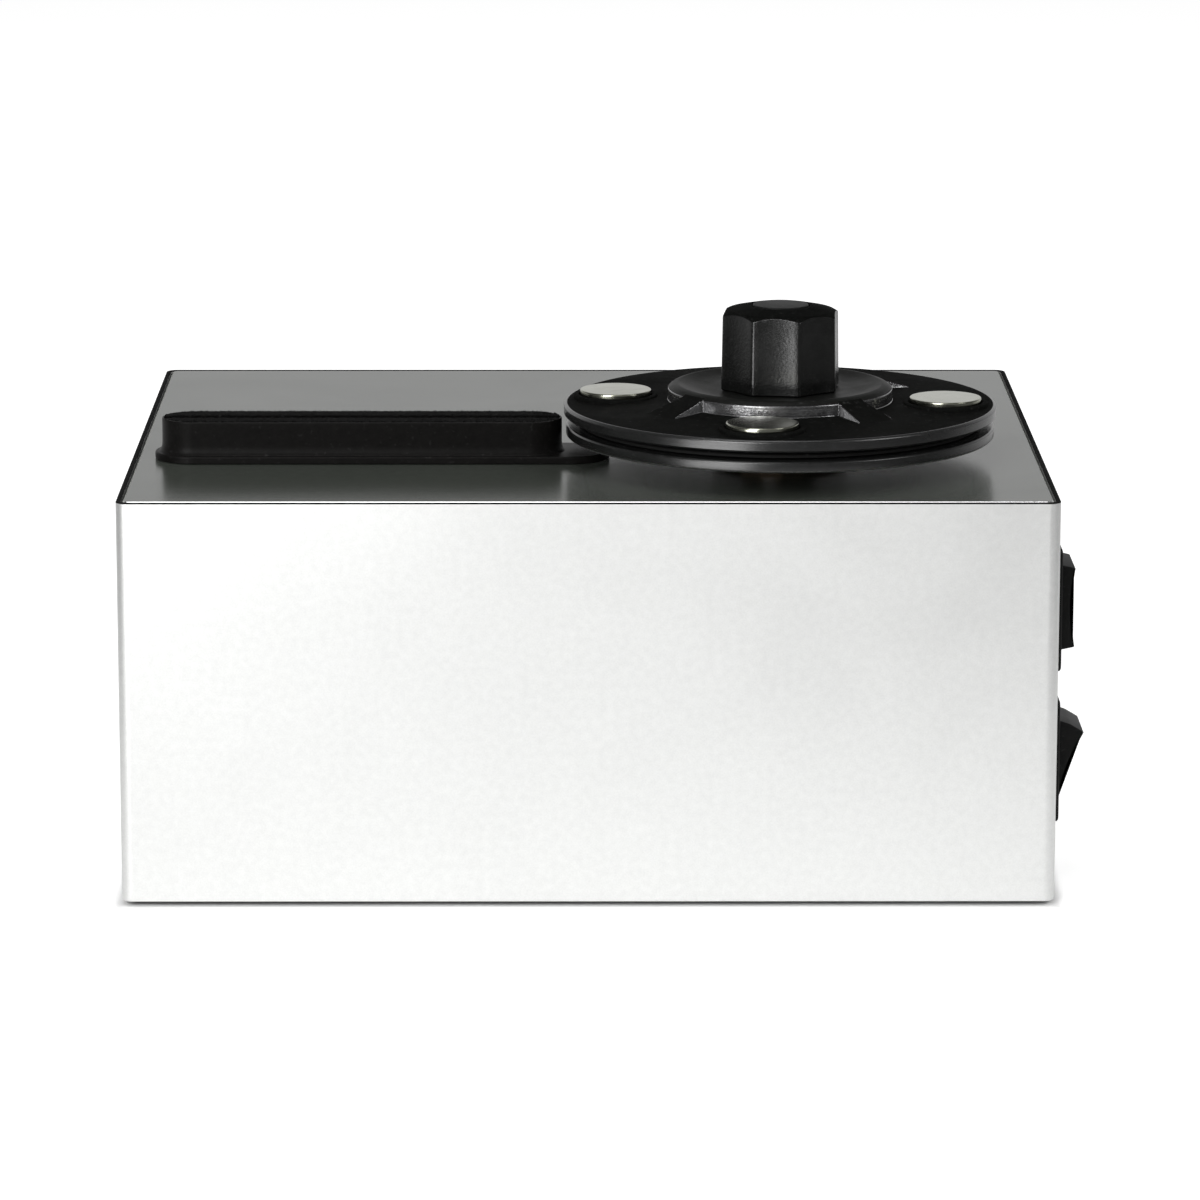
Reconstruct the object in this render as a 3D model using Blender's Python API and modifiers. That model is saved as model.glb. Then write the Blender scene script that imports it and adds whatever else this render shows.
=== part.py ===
# Record cleaning machine: a metal housing with a suction head, a platter, a record clamp and two switches
# Metres, +Z up, +X to the right seen from the front, +Y to the back, the floor at zero

import math

import bmesh
import bpy
from mathutils import Matrix, Vector

mm = 0.001

# Housing
housing_width = 230 * mm
housing_depth = 190 * mm
housing_height = 100 * mm
wall = 1.2 * mm
corner_radius = 3 * mm
seat_gap = 0.3 * mm
overrun = 1 * mm

plate_thickness = 3 * mm
plate_chamfer = 0.5 * mm
base_thickness = 2.4 * mm
base_proud = 0.5 * mm

foot_radius = 8 * mm
foot_proud = 0.7 * mm
foot_pocket = 0.9 * mm
foot_inset = 16 * mm

post_side = 9 * mm
post_inset = 2 * mm
screw_radius = 1.5 * mm
screw_head_radius = 2.8 * mm
screw_head_height = 1.6 * mm
screw_length = 9 * mm
screw_play = 0.3 * mm

vent_width = 3 * mm
vent_height = 34 * mm
vent_pitch = 6.5 * mm
vent_count = 7
vent_from_left = 60 * mm
vent_above_floor = 32 * mm

# Platter, spindle and drive
spindle_from_right = 66.5 * mm
spindle_from_front = 60 * mm
spindle_radius = 4 * mm
pin_radius = 3.55 * mm
pin_tip_chamfer = 1 * mm
pin_below_knob = 0.8 * mm
running_gap = 0.35 * mm

platter_radius = 54 * mm
platter_thickness = 2.8 * mm
platter_lift = 6.2 * mm
platter_chamfer = 0.35 * mm
platter_boss_radius = 9.6 * mm
mat_radius = 50.6 * mm
mat_inner_radius = 30 * mm
mat_thickness = 1 * mm
keeper_inner_radius = 35 * mm
keeper_width = 14 * mm
keeper_thickness = 1.2 * mm

bush_flange_radius = 17 * mm
bush_flange_thickness = 2.4 * mm
bush_barrel_radius = 9.5 * mm
bush_barrel_length = 12 * mm
bush_screw_circle = 13.6 * mm
bush_screw_count = 3
washer_radius = 9.2 * mm
washer_thickness = 0.8 * mm

coupling_radius = 8 * mm
coupling_length = 16 * mm
coupling_gap = 1 * mm
shaft_end_gap = 1 * mm
motor_shaft_radius = 3.5 * mm
motor_radius = 30 * mm
motor_length = 30 * mm
motor_gearbox_length = 9 * mm
motor_can_radius = 28 * mm
motor_shaft_offset = 8 * mm
motor_shaft_engagement = 12 * mm
motor_boss_radius = 6 * mm
motor_boss_height = 5 * mm
motor_plate_thickness = 2.5 * mm
motor_plate_margin = 6 * mm
motor_standoff_radius = 4 * mm
motor_standoff_inset = 2 * mm
motor_screw_circle = 24 * mm
motor_screw_count = 4

# Record clamp
clamp_radius = 54.5 * mm
clamp_edge_height = 3 * mm
clamp_edge_round = 0.8 * mm
clamp_foot_chamfer = 0.4 * mm
clamp_cone_rise = 0.8 * mm
clamp_bore_play = 0.35 * mm
seal_radius = 50.6 * mm
seal_width = 7 * mm
seal_thickness = 1.3 * mm
seal_proud = 0.7 * mm

hub_radius = 28.6 * mm
hub_height = 2.9 * mm
hub_ridge_width = 2.8 * mm
hub_ridge_rise = 1.3 * mm
hub_lip_round = 1.4 * mm
hub_lip_drop = 0.4 * mm
dish_radius = 19 * mm
dish_depth = 1.5 * mm
dish_middle_rise = 0.5 * mm
rib_reach = 9.9 * mm
pocket_half_angle = math.radians(37)
pocket_wall_cut = 0.3 * mm
pocket_steps = 9
clamp_turn = math.radians(-8)

magnet_count = 4
magnet_circle = 41.8 * mm
magnet_radius = 9 * mm
magnet_thickness = 3.4 * mm
magnet_round = 0.5 * mm
magnet_proud = 1.9 * mm
socket_wall = 1.3 * mm
socket_height = 0.8 * mm

knob_corner_radius = 15.3 * mm
knob_taper = 0.3 * mm
knob_height = 20.9 * mm
knob_chamfer_width = 2.1 * mm
knob_chamfer_height = 2.3 * mm
knob_dome = 0.7 * mm
knob_edge_round = 0.5 * mm
knob_facets = 8
knob_turn = math.radians(-6.5)
cap_radius = 7 * mm
cap_thickness = 0.9 * mm
cap_proud = 0.25 * mm
cap_rim = 1.2 * mm
cap_edge = 0.2 * mm
knob_screw_circle = 9.5 * mm
knob_screw_count = 3
knob_screw_grip = 7 * mm

# Suction head
record_radius = 150.8 * mm
head_overrun = 5.1 * mm
head_platter_gap = 1 * mm
head_width = 16.5 * mm
head_flange_step = 1.8 * mm
head_flange_thickness = 1.7 * mm
head_flange_reach = 12 * mm
head_fillet = 2.4 * mm
head_fillet_steps = 5
head_slot_width = 2 * mm
head_slot_margin = 7 * mm
head_duct_width = 8 * mm
head_duct_roof = 3 * mm
head_spigot_radius = 7 * mm
head_spigot_wall = 1.4 * mm
spigot_engagement = 6 * mm
lip_thickness = 0.9 * mm
lip_inset = 0.5 * mm
lip_slot_gap = 0.3 * mm
lip_steps = 6

# Waste tank
tank_depth = 62 * mm
tank_height = 58 * mm
tank_wall = 2 * mm
tank_corner = 5 * mm
tank_wall_gap = 7 * mm
tank_past_duct = 34.15 * mm
lid_thickness = 2.5 * mm
lid_lip = 2 * mm
lid_collar_height = 8 * mm
lid_collar_wall = 1.6 * mm
tank_neck_radius = 10 * mm
tank_neck_length = 7 * mm
tank_neck_wall = 1.6 * mm
neck_gap = 1 * mm

# Suction blower
blower_clearance = 5.55 * mm
blower_growth = 5 * mm
blower_depth = 26 * mm
blower_wall = 1.8 * mm
blower_horn_height = 18 * mm
blower_horn_reach = 8 * mm
cover_thickness = 2 * mm
sleeve_wall = 2 * mm
fan_tip_gap = 5.2 * mm
fan_disc_thickness = 1.6 * mm
fan_blade_height = 12 * mm
fan_blade_thickness = 1.4 * mm
fan_blade_count = 8
fan_blade_sweep = math.radians(-40)
blade_steps = 5
fan_hub_radius = 7 * mm
fan_axle_radius = 3 * mm
fan_axle_length = 14 * mm
fan_clearance = 2 * mm
blower_motor_radius = 27 * mm
blower_motor_length = 46 * mm
saddle_width = 54 * mm
saddle_depth = 30 * mm
saddle_wall = 3 * mm

# Drain
drain_from_tank_side = 13 * mm
drain_above_base = 9 * mm
drain_tube_radius = 4.5 * mm
drain_bore_radius = 2.6 * mm
nozzle_radius = 4 * mm
nozzle_reach = 9 * mm
nozzle_flange_radius = 7.5 * mm
nozzle_flange_thickness = 2 * mm
nut_corner_radius = 7 * mm
nut_thickness = 2 * mm
nut_sides = 6
cap_depth = 6 * mm
cap_wall = 1.5 * mm
cap_grip_radius = 7 * mm
cap_grip_thickness = 2 * mm

# Rocker switches on the right wall
switch_from_front = 33 * mm
switch_pair_drop = 0.4 * mm
switch_pitch = 38.4 * mm
bezel_height = 31 * mm
bezel_depth = 25.5 * mm
bezel_thickness = 2 * mm
bezel_round = 1.2 * mm
bezel_border = 2.8 * mm
bezel_edge = 0.4 * mm
tub_height = 28 * mm
tub_depth = 22 * mm
tub_length = 19 * mm
tub_cavity = 13 * mm
rocker_depth = 18 * mm
rocker_height = 20 * mm
rocker_shoulder = 0.8 * mm
rocker_reach = 3.8 * mm
rocker_dish = 0.85 * mm
rocker_body = 3.6 * mm
rocker_skirt = 1 * mm
rocker_side_gap = 0.4 * mm
pivot_inside = 2.8 * mm
trunnion_radius = 1.5 * mm
trunnion_length = 1.2 * mm
rocker_throw = math.radians(19)

# Mains inlet at the back
inlet_from_right = 40 * mm
inlet_above_edge = 34 * mm
inlet_flange_width = 31 * mm
inlet_flange_height = 40 * mm
inlet_flange_thickness = 2.2 * mm
inlet_body_width = 27 * mm
inlet_body_height = 36 * mm
inlet_body_length = 24 * mm
socket_width = 24.4 * mm
socket_opening = 16.6 * mm
socket_depth = 16.5 * mm
socket_corner = 4.5 * mm
socket_rise = 7.6 * mm
contact_width = 4 * mm
contact_thickness = 2 * mm
contact_length = 13 * mm
contact_tail = 7 * mm
contact_spread = 7 * mm
contact_offset = 4 * mm
drawer_width = 23 * mm
drawer_height = 8.6 * mm
drawer_length = 15 * mm
drawer_lip = 1.4 * mm
drawer_drop = 12 * mm
drawer_rim = 1.2 * mm
fuse_radius = 2.5 * mm
fuse_length = 20 * mm
fuse_from_end = 2 * mm

# Run capacitor of the gear motor
capacitor_radius = 15 * mm
capacitor_height = 52 * mm
capacitor_from_right = 38 * mm
capacitor_from_back = 70 * mm
clip_wall = 1.2 * mm
clip_height = 12 * mm
clip_foot = 12 * mm

# Facets of round shapes
fine_sides = 48
round_sides = 20
small_sides = 10

# Places that follow from the sizes above
edge_bottom = foot_proud + base_proud
deck = edge_bottom + housing_height
base_top = foot_proud + base_thickness
deck_under = deck - plate_thickness
inside_height = deck_under - base_top
blower_radius = inside_height / 2 - blower_clearance - blower_growth
fan_radius = blower_radius - blower_wall - fan_tip_gap

# The lower rocker rests tilted, so its outer corner is the rightmost point of the machine
rocker_corner_out = pivot_inside + bezel_thickness + rocker_reach
rocker_corner_turned = (rocker_corner_out * math.cos(rocker_throw)
                        + rocker_height / 2 * math.sin(rocker_throw))
switch_reach = rocker_corner_turned - pivot_inside
nozzle_end = nozzle_reach + seat_gap + cap_wall

housing_x = -switch_reach / 2
housing_y = -nozzle_end / 2
left = housing_x - housing_width / 2
right = housing_x + housing_width / 2
front = housing_y - housing_depth / 2
back = housing_y + housing_depth / 2

spindle_x = right - spindle_from_right
spindle_y = front + spindle_from_front

head_right = spindle_x - platter_radius - head_platter_gap
head_left = spindle_x - record_radius - head_overrun
head_length = head_right - head_left
duct_centre = (head_right - head_length / 2, spindle_y, deck + seat_gap)
tank_left = left + wall + tank_wall_gap
tank_right = duct_centre[0] + tank_past_duct
tank_width = tank_right - tank_left
tank_x = (tank_left + tank_right) / 2

platter_under = deck + platter_lift
platter_top = platter_under + platter_thickness
mat_top = platter_top + seat_gap + mat_thickness
clamp_under = mat_top + seat_gap + seal_proud
hub_top = clamp_edge_height + clamp_cone_rise + hub_height
hub_ridge = hub_top + hub_ridge_rise
hub_floor = hub_ridge - dish_depth

# Collections, materials and small helpers

for old in list(bpy.data.objects):
    bpy.data.objects.remove(old, do_unlink=True)

machine = bpy.data.collections.new("Record_cleaning_machine")
cutters = bpy.data.collections.new("Cutters")
bpy.context.scene.collection.children.link(machine)
bpy.context.scene.collection.children.link(cutters)


def material(name, color, roughness, metallic=0.0):
    made = bpy.data.materials.new(name)
    made.use_nodes = True
    surface = made.node_tree.nodes["Principled BSDF"]
    surface.inputs["Base Color"].default_value = (*color, 1.0)
    surface.inputs["Roughness"].default_value = roughness
    surface.inputs["Metallic"].default_value = metallic
    return made


def material_for(name):
    color, roughness, metallic = finishes[name]
    return lambda node: material(name + "_of_" + node, color, roughness, metallic)


finishes = {
    "blasted_aluminium": ((0.80, 0.81, 0.80), 0.45, 1.0),
    "dark_anodised": ((0.055, 0.057, 0.058), 0.22, 0.6),
    "black_steel": ((0.03, 0.03, 0.03), 0.5, 0.4),
    "black_moulded": ((0.016, 0.016, 0.017), 0.38, 0.0),
    "black_satin": ((0.012, 0.012, 0.013), 0.3, 0.0),
    "black_rubber": ((0.012, 0.012, 0.012), 0.8, 0.0),
    "black_felt": ((0.010, 0.010, 0.010), 0.95, 0.0),
    "nickel": ((0.78, 0.76, 0.72), 0.18, 1.0),
    "steel": ((0.56, 0.56, 0.57), 0.3, 1.0),
    "brass": ((0.72, 0.52, 0.24), 0.3, 1.0),
    "clear_plastic": ((0.62, 0.64, 0.64), 0.4, 0.0),
    "nylon": ((0.75, 0.74, 0.70), 0.5, 0.0),
    "tube_rubber": ((0.30, 0.30, 0.29), 0.6, 0.0),
    "glass": ((0.75, 0.80, 0.80), 0.1, 0.0),
}


def place_object(obj, place, turn, parent, collection):
    collection.objects.link(obj)
    obj.location = place
    obj.rotation_euler = turn
    obj.parent = parent
    return obj


def piece(name, mesh, finish, place=(0, 0, 0), turn=(0, 0, 0), parent=None):
    mesh.name = name
    mesh.materials.clear()
    mesh.materials.append(material_for(finish)(name))
    return place_object(bpy.data.objects.new(name, mesh), place, turn, parent, machine)


def tool(name, mesh, place=(0, 0, 0), turn=(0, 0, 0), parent=None):
    made = place_object(bpy.data.objects.new(name, mesh), place, turn, parent, cutters)
    made.hide_render = True
    made.display_type = "WIRE"
    return made


def axis_empty(name, place, parent=None):
    return place_object(bpy.data.objects.new(name, None), place, (0, 0, 0), parent, machine)


def combine(target, other, operation):
    step = target.modifiers.new(operation.title() + "_" + other.name, "BOOLEAN")
    step.operation = operation
    step.object = other


def cut(target, other):
    combine(target, other, "DIFFERENCE")


def join(target, other):
    combine(target, other, "UNION")


def finished_mesh(bm, smooth):
    bmesh.ops.recalc_face_normals(bm, faces=bm.faces)
    mesh = bpy.data.meshes.new("shape")
    bm.to_mesh(mesh)
    bm.free()
    if smooth:
        mesh.shade_smooth()
        mesh.set_sharp_from_angle(angle=math.radians(35))
    return mesh


def evaluated_mesh(source, smooth):
    bpy.context.scene.collection.objects.link(source)
    graph = bpy.context.evaluated_depsgraph_get()
    mesh = bpy.data.meshes.new_from_object(source.evaluated_get(graph))
    bpy.data.objects.remove(source, do_unlink=True)
    bm = bmesh.new()
    bm.from_mesh(mesh)
    bmesh.ops.remove_doubles(bm, verts=bm.verts, dist=seat_gap / 100)
    bpy.data.meshes.remove(mesh)
    return finished_mesh(bm, smooth)


def turned(profile, sides, ring=False):
    # A profile of radius and height, from the top down its outer side, turned about Z
    mesh = bpy.data.meshes.new("profile")
    count = len(profile)
    edges = [(index, index + 1) for index in range(count - 1)]
    if ring:
        edges.append((count - 1, 0))
    mesh.from_pydata([(radius, 0, height) for radius, height in profile], edges, [])
    source = bpy.data.objects.new("profile", mesh)
    screw = source.modifiers.new("Turn", "SCREW")
    screw.steps = sides
    screw.render_steps = sides
    screw.use_merge_vertices = True
    screw.merge_threshold = seat_gap / 100
    return evaluated_mesh(source, True)


def rod(radius, bottom, top, sides=round_sides):
    return turned([(0, top), (radius, top), (radius, bottom), (0, bottom)], sides)


def tube(outer, inner, bottom, top, sides=round_sides):
    return turned([(inner, top), (outer, top), (outer, bottom), (inner, bottom)], sides, True)


def extruded(outlines, bottom, top, smooth=False):
    # Flat outlines in XY, filled and given a thickness from bottom to top
    curve = bpy.data.curves.new("outline", "CURVE")
    curve.dimensions = "2D"
    curve.fill_mode = "BOTH"
    curve.extrude = (top - bottom) / 2
    for outline in outlines:
        spline = curve.splines.new("POLY")
        spline.points.add(len(outline) - 1)
        for point, (x, y) in zip(spline.points, outline):
            point.co = (x, y, 0, 1)
        spline.use_cyclic_u = True
    mesh = evaluated_mesh(bpy.data.objects.new("outline", curve), smooth)
    mesh.transform(Matrix.Translation((0, 0, (top + bottom) / 2)))
    return mesh


def block(width, depth, height, rounding=0, chamfer=0, segments=4):
    # A block standing on its local floor, its upright edges rounded and its top rim chamfered
    bm = bmesh.new()
    bmesh.ops.create_cube(bm, size=1)
    bmesh.ops.transform(bm, verts=bm.verts, matrix=Matrix.Diagonal((width, depth, height, 1)))
    bmesh.ops.translate(bm, verts=bm.verts, vec=(0, 0, height / 2))
    if rounding:
        upright = [edge for edge in bm.edges if abs(edge.verts[0].co.z - edge.verts[1].co.z) > height / 2]
        bmesh.ops.bevel(bm, geom=upright, offset=rounding, segments=segments, profile=0.5, affect="EDGES")
    if chamfer:
        rim = [edge for edge in bm.edges if min(vert.co.z for vert in edge.verts) > height / 2]
        bmesh.ops.bevel(bm, geom=rim, offset=chamfer, segments=1, profile=0.5, affect="EDGES")
    return finished_mesh(bm, bool(rounding))


def lofted(rings, smooth=True):
    # Closed rings of equal point counts, from bottom to top, skinned and capped
    bm = bmesh.new()
    loops = [[bm.verts.new(point) for point in ring] for ring in rings]
    count = len(loops[0])
    for lower, upper in zip(loops, loops[1:]):
        for index in range(count):
            after = (index + 1) % count
            bm.faces.new((lower[index], lower[after], upper[after], upper[index]))
    bm.faces.new(loops[0])
    bm.faces.new(loops[-1])
    return finished_mesh(bm, smooth)


def arc(centre, radius, start, end, steps):
    turns = [start + (end - start) * index / steps for index in range(steps + 1)]
    return [(centre[0] + radius * math.cos(turn), centre[1] + radius * math.sin(turn)) for turn in turns]


def stadium(start, end, half_width, steps=10):
    # A long outline with round ends, along X from start to end
    return (arc((end - half_width, 0), half_width, -math.pi / 2, math.pi / 2, steps)
            + arc((start + half_width, 0), half_width, math.pi / 2, 3 * math.pi / 2, steps))


def joined_copies(mesh, places):
    # One mesh that holds a separate body at each place
    bm = bmesh.new()
    for spot in places:
        copied = mesh.copy()
        copied.transform(Matrix.Translation(spot))
        bm.from_mesh(copied)
        bpy.data.meshes.remove(copied)
    return finished_mesh(bm, True)


def circle_places(radius, count, height=0, first=0):
    turns = [first + 2 * math.pi * index / count for index in range(count)]
    return [Vector((radius * math.cos(turn), radius * math.sin(turn), height)) for turn in turns]


along_x = (0, math.pi / 2, 0)
along_y = (-math.pi / 2, 0, 0)
upright_y = Matrix(((0, 1, 0), (0, 0, 1), (1, 0, 0))).to_euler()


# Housing wrap: one rounded band of metal, open above and below
inner_radius = corner_radius - wall
housing_centre = (housing_x, housing_y, edge_bottom)
wrap = piece("housing_wrap", block(housing_width, housing_depth, housing_height, corner_radius),
             "blasted_aluminium", housing_centre)
inner_width = housing_width - 2 * wall
inner_depth = housing_depth - 2 * wall
cut(wrap, tool("wrap_inside", block(inner_width, inner_depth, housing_height + 2 * overrun, inner_radius),
               (housing_x, housing_y, edge_bottom - overrun)))

switch_y = front + switch_from_front
pair_middle = edge_bottom + housing_height / 2 - switch_pair_drop
switch_heights = {"lower": pair_middle - switch_pitch / 2, "upper": pair_middle + switch_pitch / 2}
for level, height in switch_heights.items():
    hole = block(tub_height + 2 * seat_gap, tub_depth + 2 * seat_gap, wall + 2 * overrun)
    cut(wrap, tool("wrap_hole_switch_" + level, hole, (right - wall - overrun, switch_y, height), along_x))

inlet_x = right - inlet_from_right
inlet_z = edge_bottom + inlet_above_edge
inlet_hole = block(inlet_body_width + 2 * seat_gap, inlet_body_height + 2 * seat_gap, wall + 2 * overrun)
cut(wrap, tool("wrap_hole_inlet", inlet_hole, (inlet_x, back - wall - overrun, inlet_z), along_y))

drain_x = tank_left + drain_from_tank_side
drain_z = base_top + drain_above_base
nozzle_hole = rod(nozzle_radius + seat_gap, 0, wall + 2 * overrun, small_sides)
cut(wrap, tool("wrap_hole_drain", nozzle_hole, (drain_x, back - wall - overrun, drain_z), along_y))

vents = []
vent_outline = stadium(-vent_height / 2, vent_height / 2, vent_width / 2, 4)
for index in range(vent_count):
    vents.append([(x, y + vent_pitch * index) for x, y in vent_outline])
cut(wrap, tool("wrap_vents", extruded(vents, 0, wall + 2 * overrun),
               (left + vent_from_left, back - wall - overrun, edge_bottom + vent_above_floor + vent_height / 2),
               upright_y))

# Top plate, let into the wrap, with a bright chamfer round its rim
plate_width = inner_width - 2 * seat_gap
plate_depth = inner_depth - 2 * seat_gap
top_plate = piece("top_plate", block(plate_width, plate_depth, plate_thickness, inner_radius, plate_chamfer),
                  "dark_anodised", (housing_x, housing_y, deck_under))
cut(top_plate, tool("plate_hole_bush", rod(bush_barrel_radius + seat_gap, -overrun, plate_thickness + overrun),
                    (spindle_x, spindle_y, deck_under)))

# Base plate, with pockets for the feet and countersunk holes for its screws
base_plate = piece("base_plate", block(plate_width, plate_depth, base_thickness, inner_radius),
                   "black_steel", (housing_x, housing_y, foot_proud))

corner_signs = {"front_left": (-1, -1), "front_right": (1, -1), "back_left": (-1, 1), "back_right": (1, 1)}


def corner_places(inset, height):
    reach_x = plate_width / 2 - inset
    reach_y = plate_depth / 2 - inset
    return {corner: Vector((housing_x + sign_x * reach_x, housing_y + sign_y * reach_y, height))
            for corner, (sign_x, sign_y) in corner_signs.items()}


foot_places = corner_places(foot_inset, 0)
pockets = joined_copies(rod(foot_radius + seat_gap, foot_proud - overrun, foot_proud + foot_pocket, round_sides),
                        foot_places.values())
cut(base_plate, tool("foot_pockets", pockets))
for corner, spot in foot_places.items():
    foot_height = foot_proud + foot_pocket - seat_gap
    piece("foot_" + corner, rod(foot_radius, 0, foot_height), "black_rubber", spot)

# Corner posts between the base and the top plate, bored for the screws that hold the base
post_centre = post_inset + post_side / 2
post_places = corner_places(post_centre, base_top + seat_gap)
post_height = deck_under - base_top - 2 * seat_gap
post_bore = screw_radius + screw_play
for corner, spot in post_places.items():
    post = piece("corner_post_" + corner, block(post_side, post_side, post_height), "blasted_aluminium", spot)
    cut(post, tool("post_bore_" + corner, rod(post_bore, -overrun, screw_length, small_sides), spot))

base_holes = joined_copies(rod(post_bore, -overrun, base_thickness + overrun, small_sides),
                           corner_places(post_centre, foot_proud).values())
head_holes = joined_copies(rod(screw_head_radius + screw_play, -overrun, screw_head_height + seat_gap, small_sides),
                           corner_places(post_centre, foot_proud).values())
cut(base_plate, tool("base_screw_holes", base_holes))
cut(base_plate, tool("base_screw_head_pockets", head_holes))

# Drive: a bush in the top plate, the spindle, a coupling and the gear motor below
spindle_axis = axis_empty("spindle_axis", (spindle_x, spindle_y, deck))
flange_top = seat_gap + bush_flange_thickness
washer_low = flange_top + seat_gap
boss_low = washer_low + washer_thickness + seat_gap
platter_high = platter_lift + platter_thickness
coupling_top = -bush_barrel_length - coupling_gap
coupling_low = coupling_top - coupling_length
coupling_middle = (coupling_top + coupling_low) / 2
motor_boss_top = coupling_low - coupling_gap
gearbox_top = motor_boss_top - motor_boss_height

spindle_base = (spindle_x, spindle_y, deck)
bush_bore = spindle_radius + running_gap
bush_mesh = turned([(bush_bore, flange_top), (bush_flange_radius, flange_top), (bush_flange_radius, seat_gap),
                    (bush_barrel_radius, seat_gap), (bush_barrel_radius, -bush_barrel_length),
                    (bush_bore, -bush_barrel_length)], round_sides, True)
bush = piece("spindle_bush", bush_mesh, "brass", spindle_base)
bush_spots = circle_places(bush_screw_circle, bush_screw_count)
bush_hole = rod(screw_radius + screw_play, -plate_thickness - overrun, flange_top + overrun, small_sides)
cut(bush, tool("bush_screw_holes", joined_copies(bush_hole, bush_spots), spindle_base))
cut(top_plate, tool("plate_screw_holes", joined_copies(bush_hole, bush_spots), spindle_base))
piece("thrust_washer", tube(washer_radius, spindle_radius + seat_gap, washer_low, washer_low + washer_thickness),
      "nylon", spindle_base)

pin_top = clamp_under - deck + hub_floor - pin_below_knob
piece("spindle", turned([(0, pin_top), (pin_radius - pin_tip_chamfer, pin_top),
                         (pin_radius, pin_top - pin_tip_chamfer), (pin_radius, platter_high), (spindle_radius, platter_high),
                         (spindle_radius, coupling_middle + shaft_end_gap / 2),
                         (0, coupling_middle + shaft_end_gap / 2)], round_sides), "steel", parent=spindle_axis)
shaft_bottom = motor_boss_top - motor_shaft_engagement
piece("motor_shaft", rod(motor_shaft_radius, shaft_bottom, coupling_middle - shaft_end_gap / 2, small_sides),
      "steel", parent=spindle_axis)
upper_bore = spindle_radius + seat_gap
lower_bore = motor_shaft_radius + seat_gap
piece("shaft_coupling", turned([(upper_bore, coupling_top), (coupling_radius, coupling_top),
                                (coupling_radius, coupling_low), (lower_bore, coupling_low),
                                (lower_bore, coupling_middle), (upper_bore, coupling_middle)], round_sides, True),
      "brass", parent=spindle_axis)

motor_centre = (spindle_x, spindle_y + motor_shaft_offset, deck)
can_top = gearbox_top - motor_gearbox_length
gear_motor = piece("gear_motor", turned([(0, gearbox_top), (motor_radius, gearbox_top), (motor_radius, can_top),
                                         (motor_can_radius, can_top), (motor_can_radius, can_top - motor_length),
                                         (0, can_top - motor_length)], round_sides), "steel", motor_centre)
join(gear_motor, tool("motor_boss", rod(motor_boss_radius, gearbox_top - overrun, motor_boss_top, small_sides),
                      spindle_base))
cut(gear_motor, tool("motor_shaft_bore", rod(motor_shaft_radius + running_gap, shaft_bottom - seat_gap,
                                             motor_boss_top + overrun, small_sides), spindle_base))
motor_plate_low = gearbox_top + seat_gap
motor_plate_side = 2 * (motor_radius + motor_plate_margin)
motor_plate = piece("motor_plate", block(motor_plate_side, motor_plate_side, motor_plate_thickness, corner_radius),
                    "steel", (spindle_x, spindle_y + motor_shaft_offset, deck + motor_plate_low))
cut(motor_plate, tool("motor_plate_hole", rod(motor_boss_radius + seat_gap, gearbox_top, motor_boss_top + overrun),
                      spindle_base))
standoff_reach = motor_plate_side / 2 - motor_standoff_radius - motor_standoff_inset
standoff_spots = [Vector((sign_x * standoff_reach, sign_y * standoff_reach, 0))
                  for sign_x, sign_y in corner_signs.values()]
standoff = rod(motor_standoff_radius, motor_plate_low + motor_plate_thickness / 2, -plate_thickness - seat_gap,
               small_sides)
join(motor_plate, tool("motor_standoffs", joined_copies(standoff, standoff_spots), motor_centre))
motor_spots = circle_places(motor_screw_circle, motor_screw_count, 0, math.pi / motor_screw_count)
motor_plate_high = motor_plate_low + motor_plate_thickness
motor_hole = rod(screw_radius + screw_play, motor_plate_high - screw_length, motor_plate_high + overrun,
                 small_sides)
motor_holes = tool("motor_screw_holes", joined_copies(motor_hole, motor_spots), motor_centre)
cut(motor_plate, motor_holes)
cut(gear_motor, motor_holes)

# Platter: a chamfered disc with a boss below, a steel ring for the magnets and a mat
bore = spindle_radius + seat_gap
groove_inner = keeper_inner_radius - seat_gap
groove_outer = keeper_inner_radius + keeper_width + seat_gap
groove_roof = platter_lift + keeper_thickness + seat_gap
platter_profile = [(bore, platter_high), (platter_radius - platter_chamfer, platter_high),
                   (platter_radius, platter_high - platter_chamfer),
                   (platter_radius, platter_lift + platter_chamfer),
                   (platter_radius - platter_chamfer, platter_lift), (groove_outer, platter_lift),
                   (groove_outer, groove_roof), (groove_inner, groove_roof), (groove_inner, platter_lift),
                   (platter_boss_radius, platter_lift), (platter_boss_radius, boss_low), (bore, boss_low)]
piece("platter", turned(platter_profile, fine_sides, True), "black_satin", parent=spindle_axis)
piece("keeper_ring", tube(keeper_inner_radius + keeper_width, keeper_inner_radius, platter_lift,
                          platter_lift + keeper_thickness, fine_sides), "steel", parent=spindle_axis)
piece("platter_mat", tube(mat_radius, mat_inner_radius, platter_high + seat_gap,
                          platter_high + seat_gap + mat_thickness, fine_sides), "black_rubber", parent=spindle_axis)

# Record clamp: a coned disc with a dished hub, ribs between four pockets, magnets, a seal and a knob
clamp_axis = axis_empty("clamp_axis", (0, 0, clamp_under - deck), spindle_axis)
clamp_bore = pin_radius + clamp_bore_play
rim_inner = clamp_radius - clamp_edge_round


def clamp_surface(radius):
    # Height of the coned upper face above the underside at a radius
    return clamp_edge_height + clamp_cone_rise * (rim_inner - radius) / (rim_inner - hub_radius)


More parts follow.
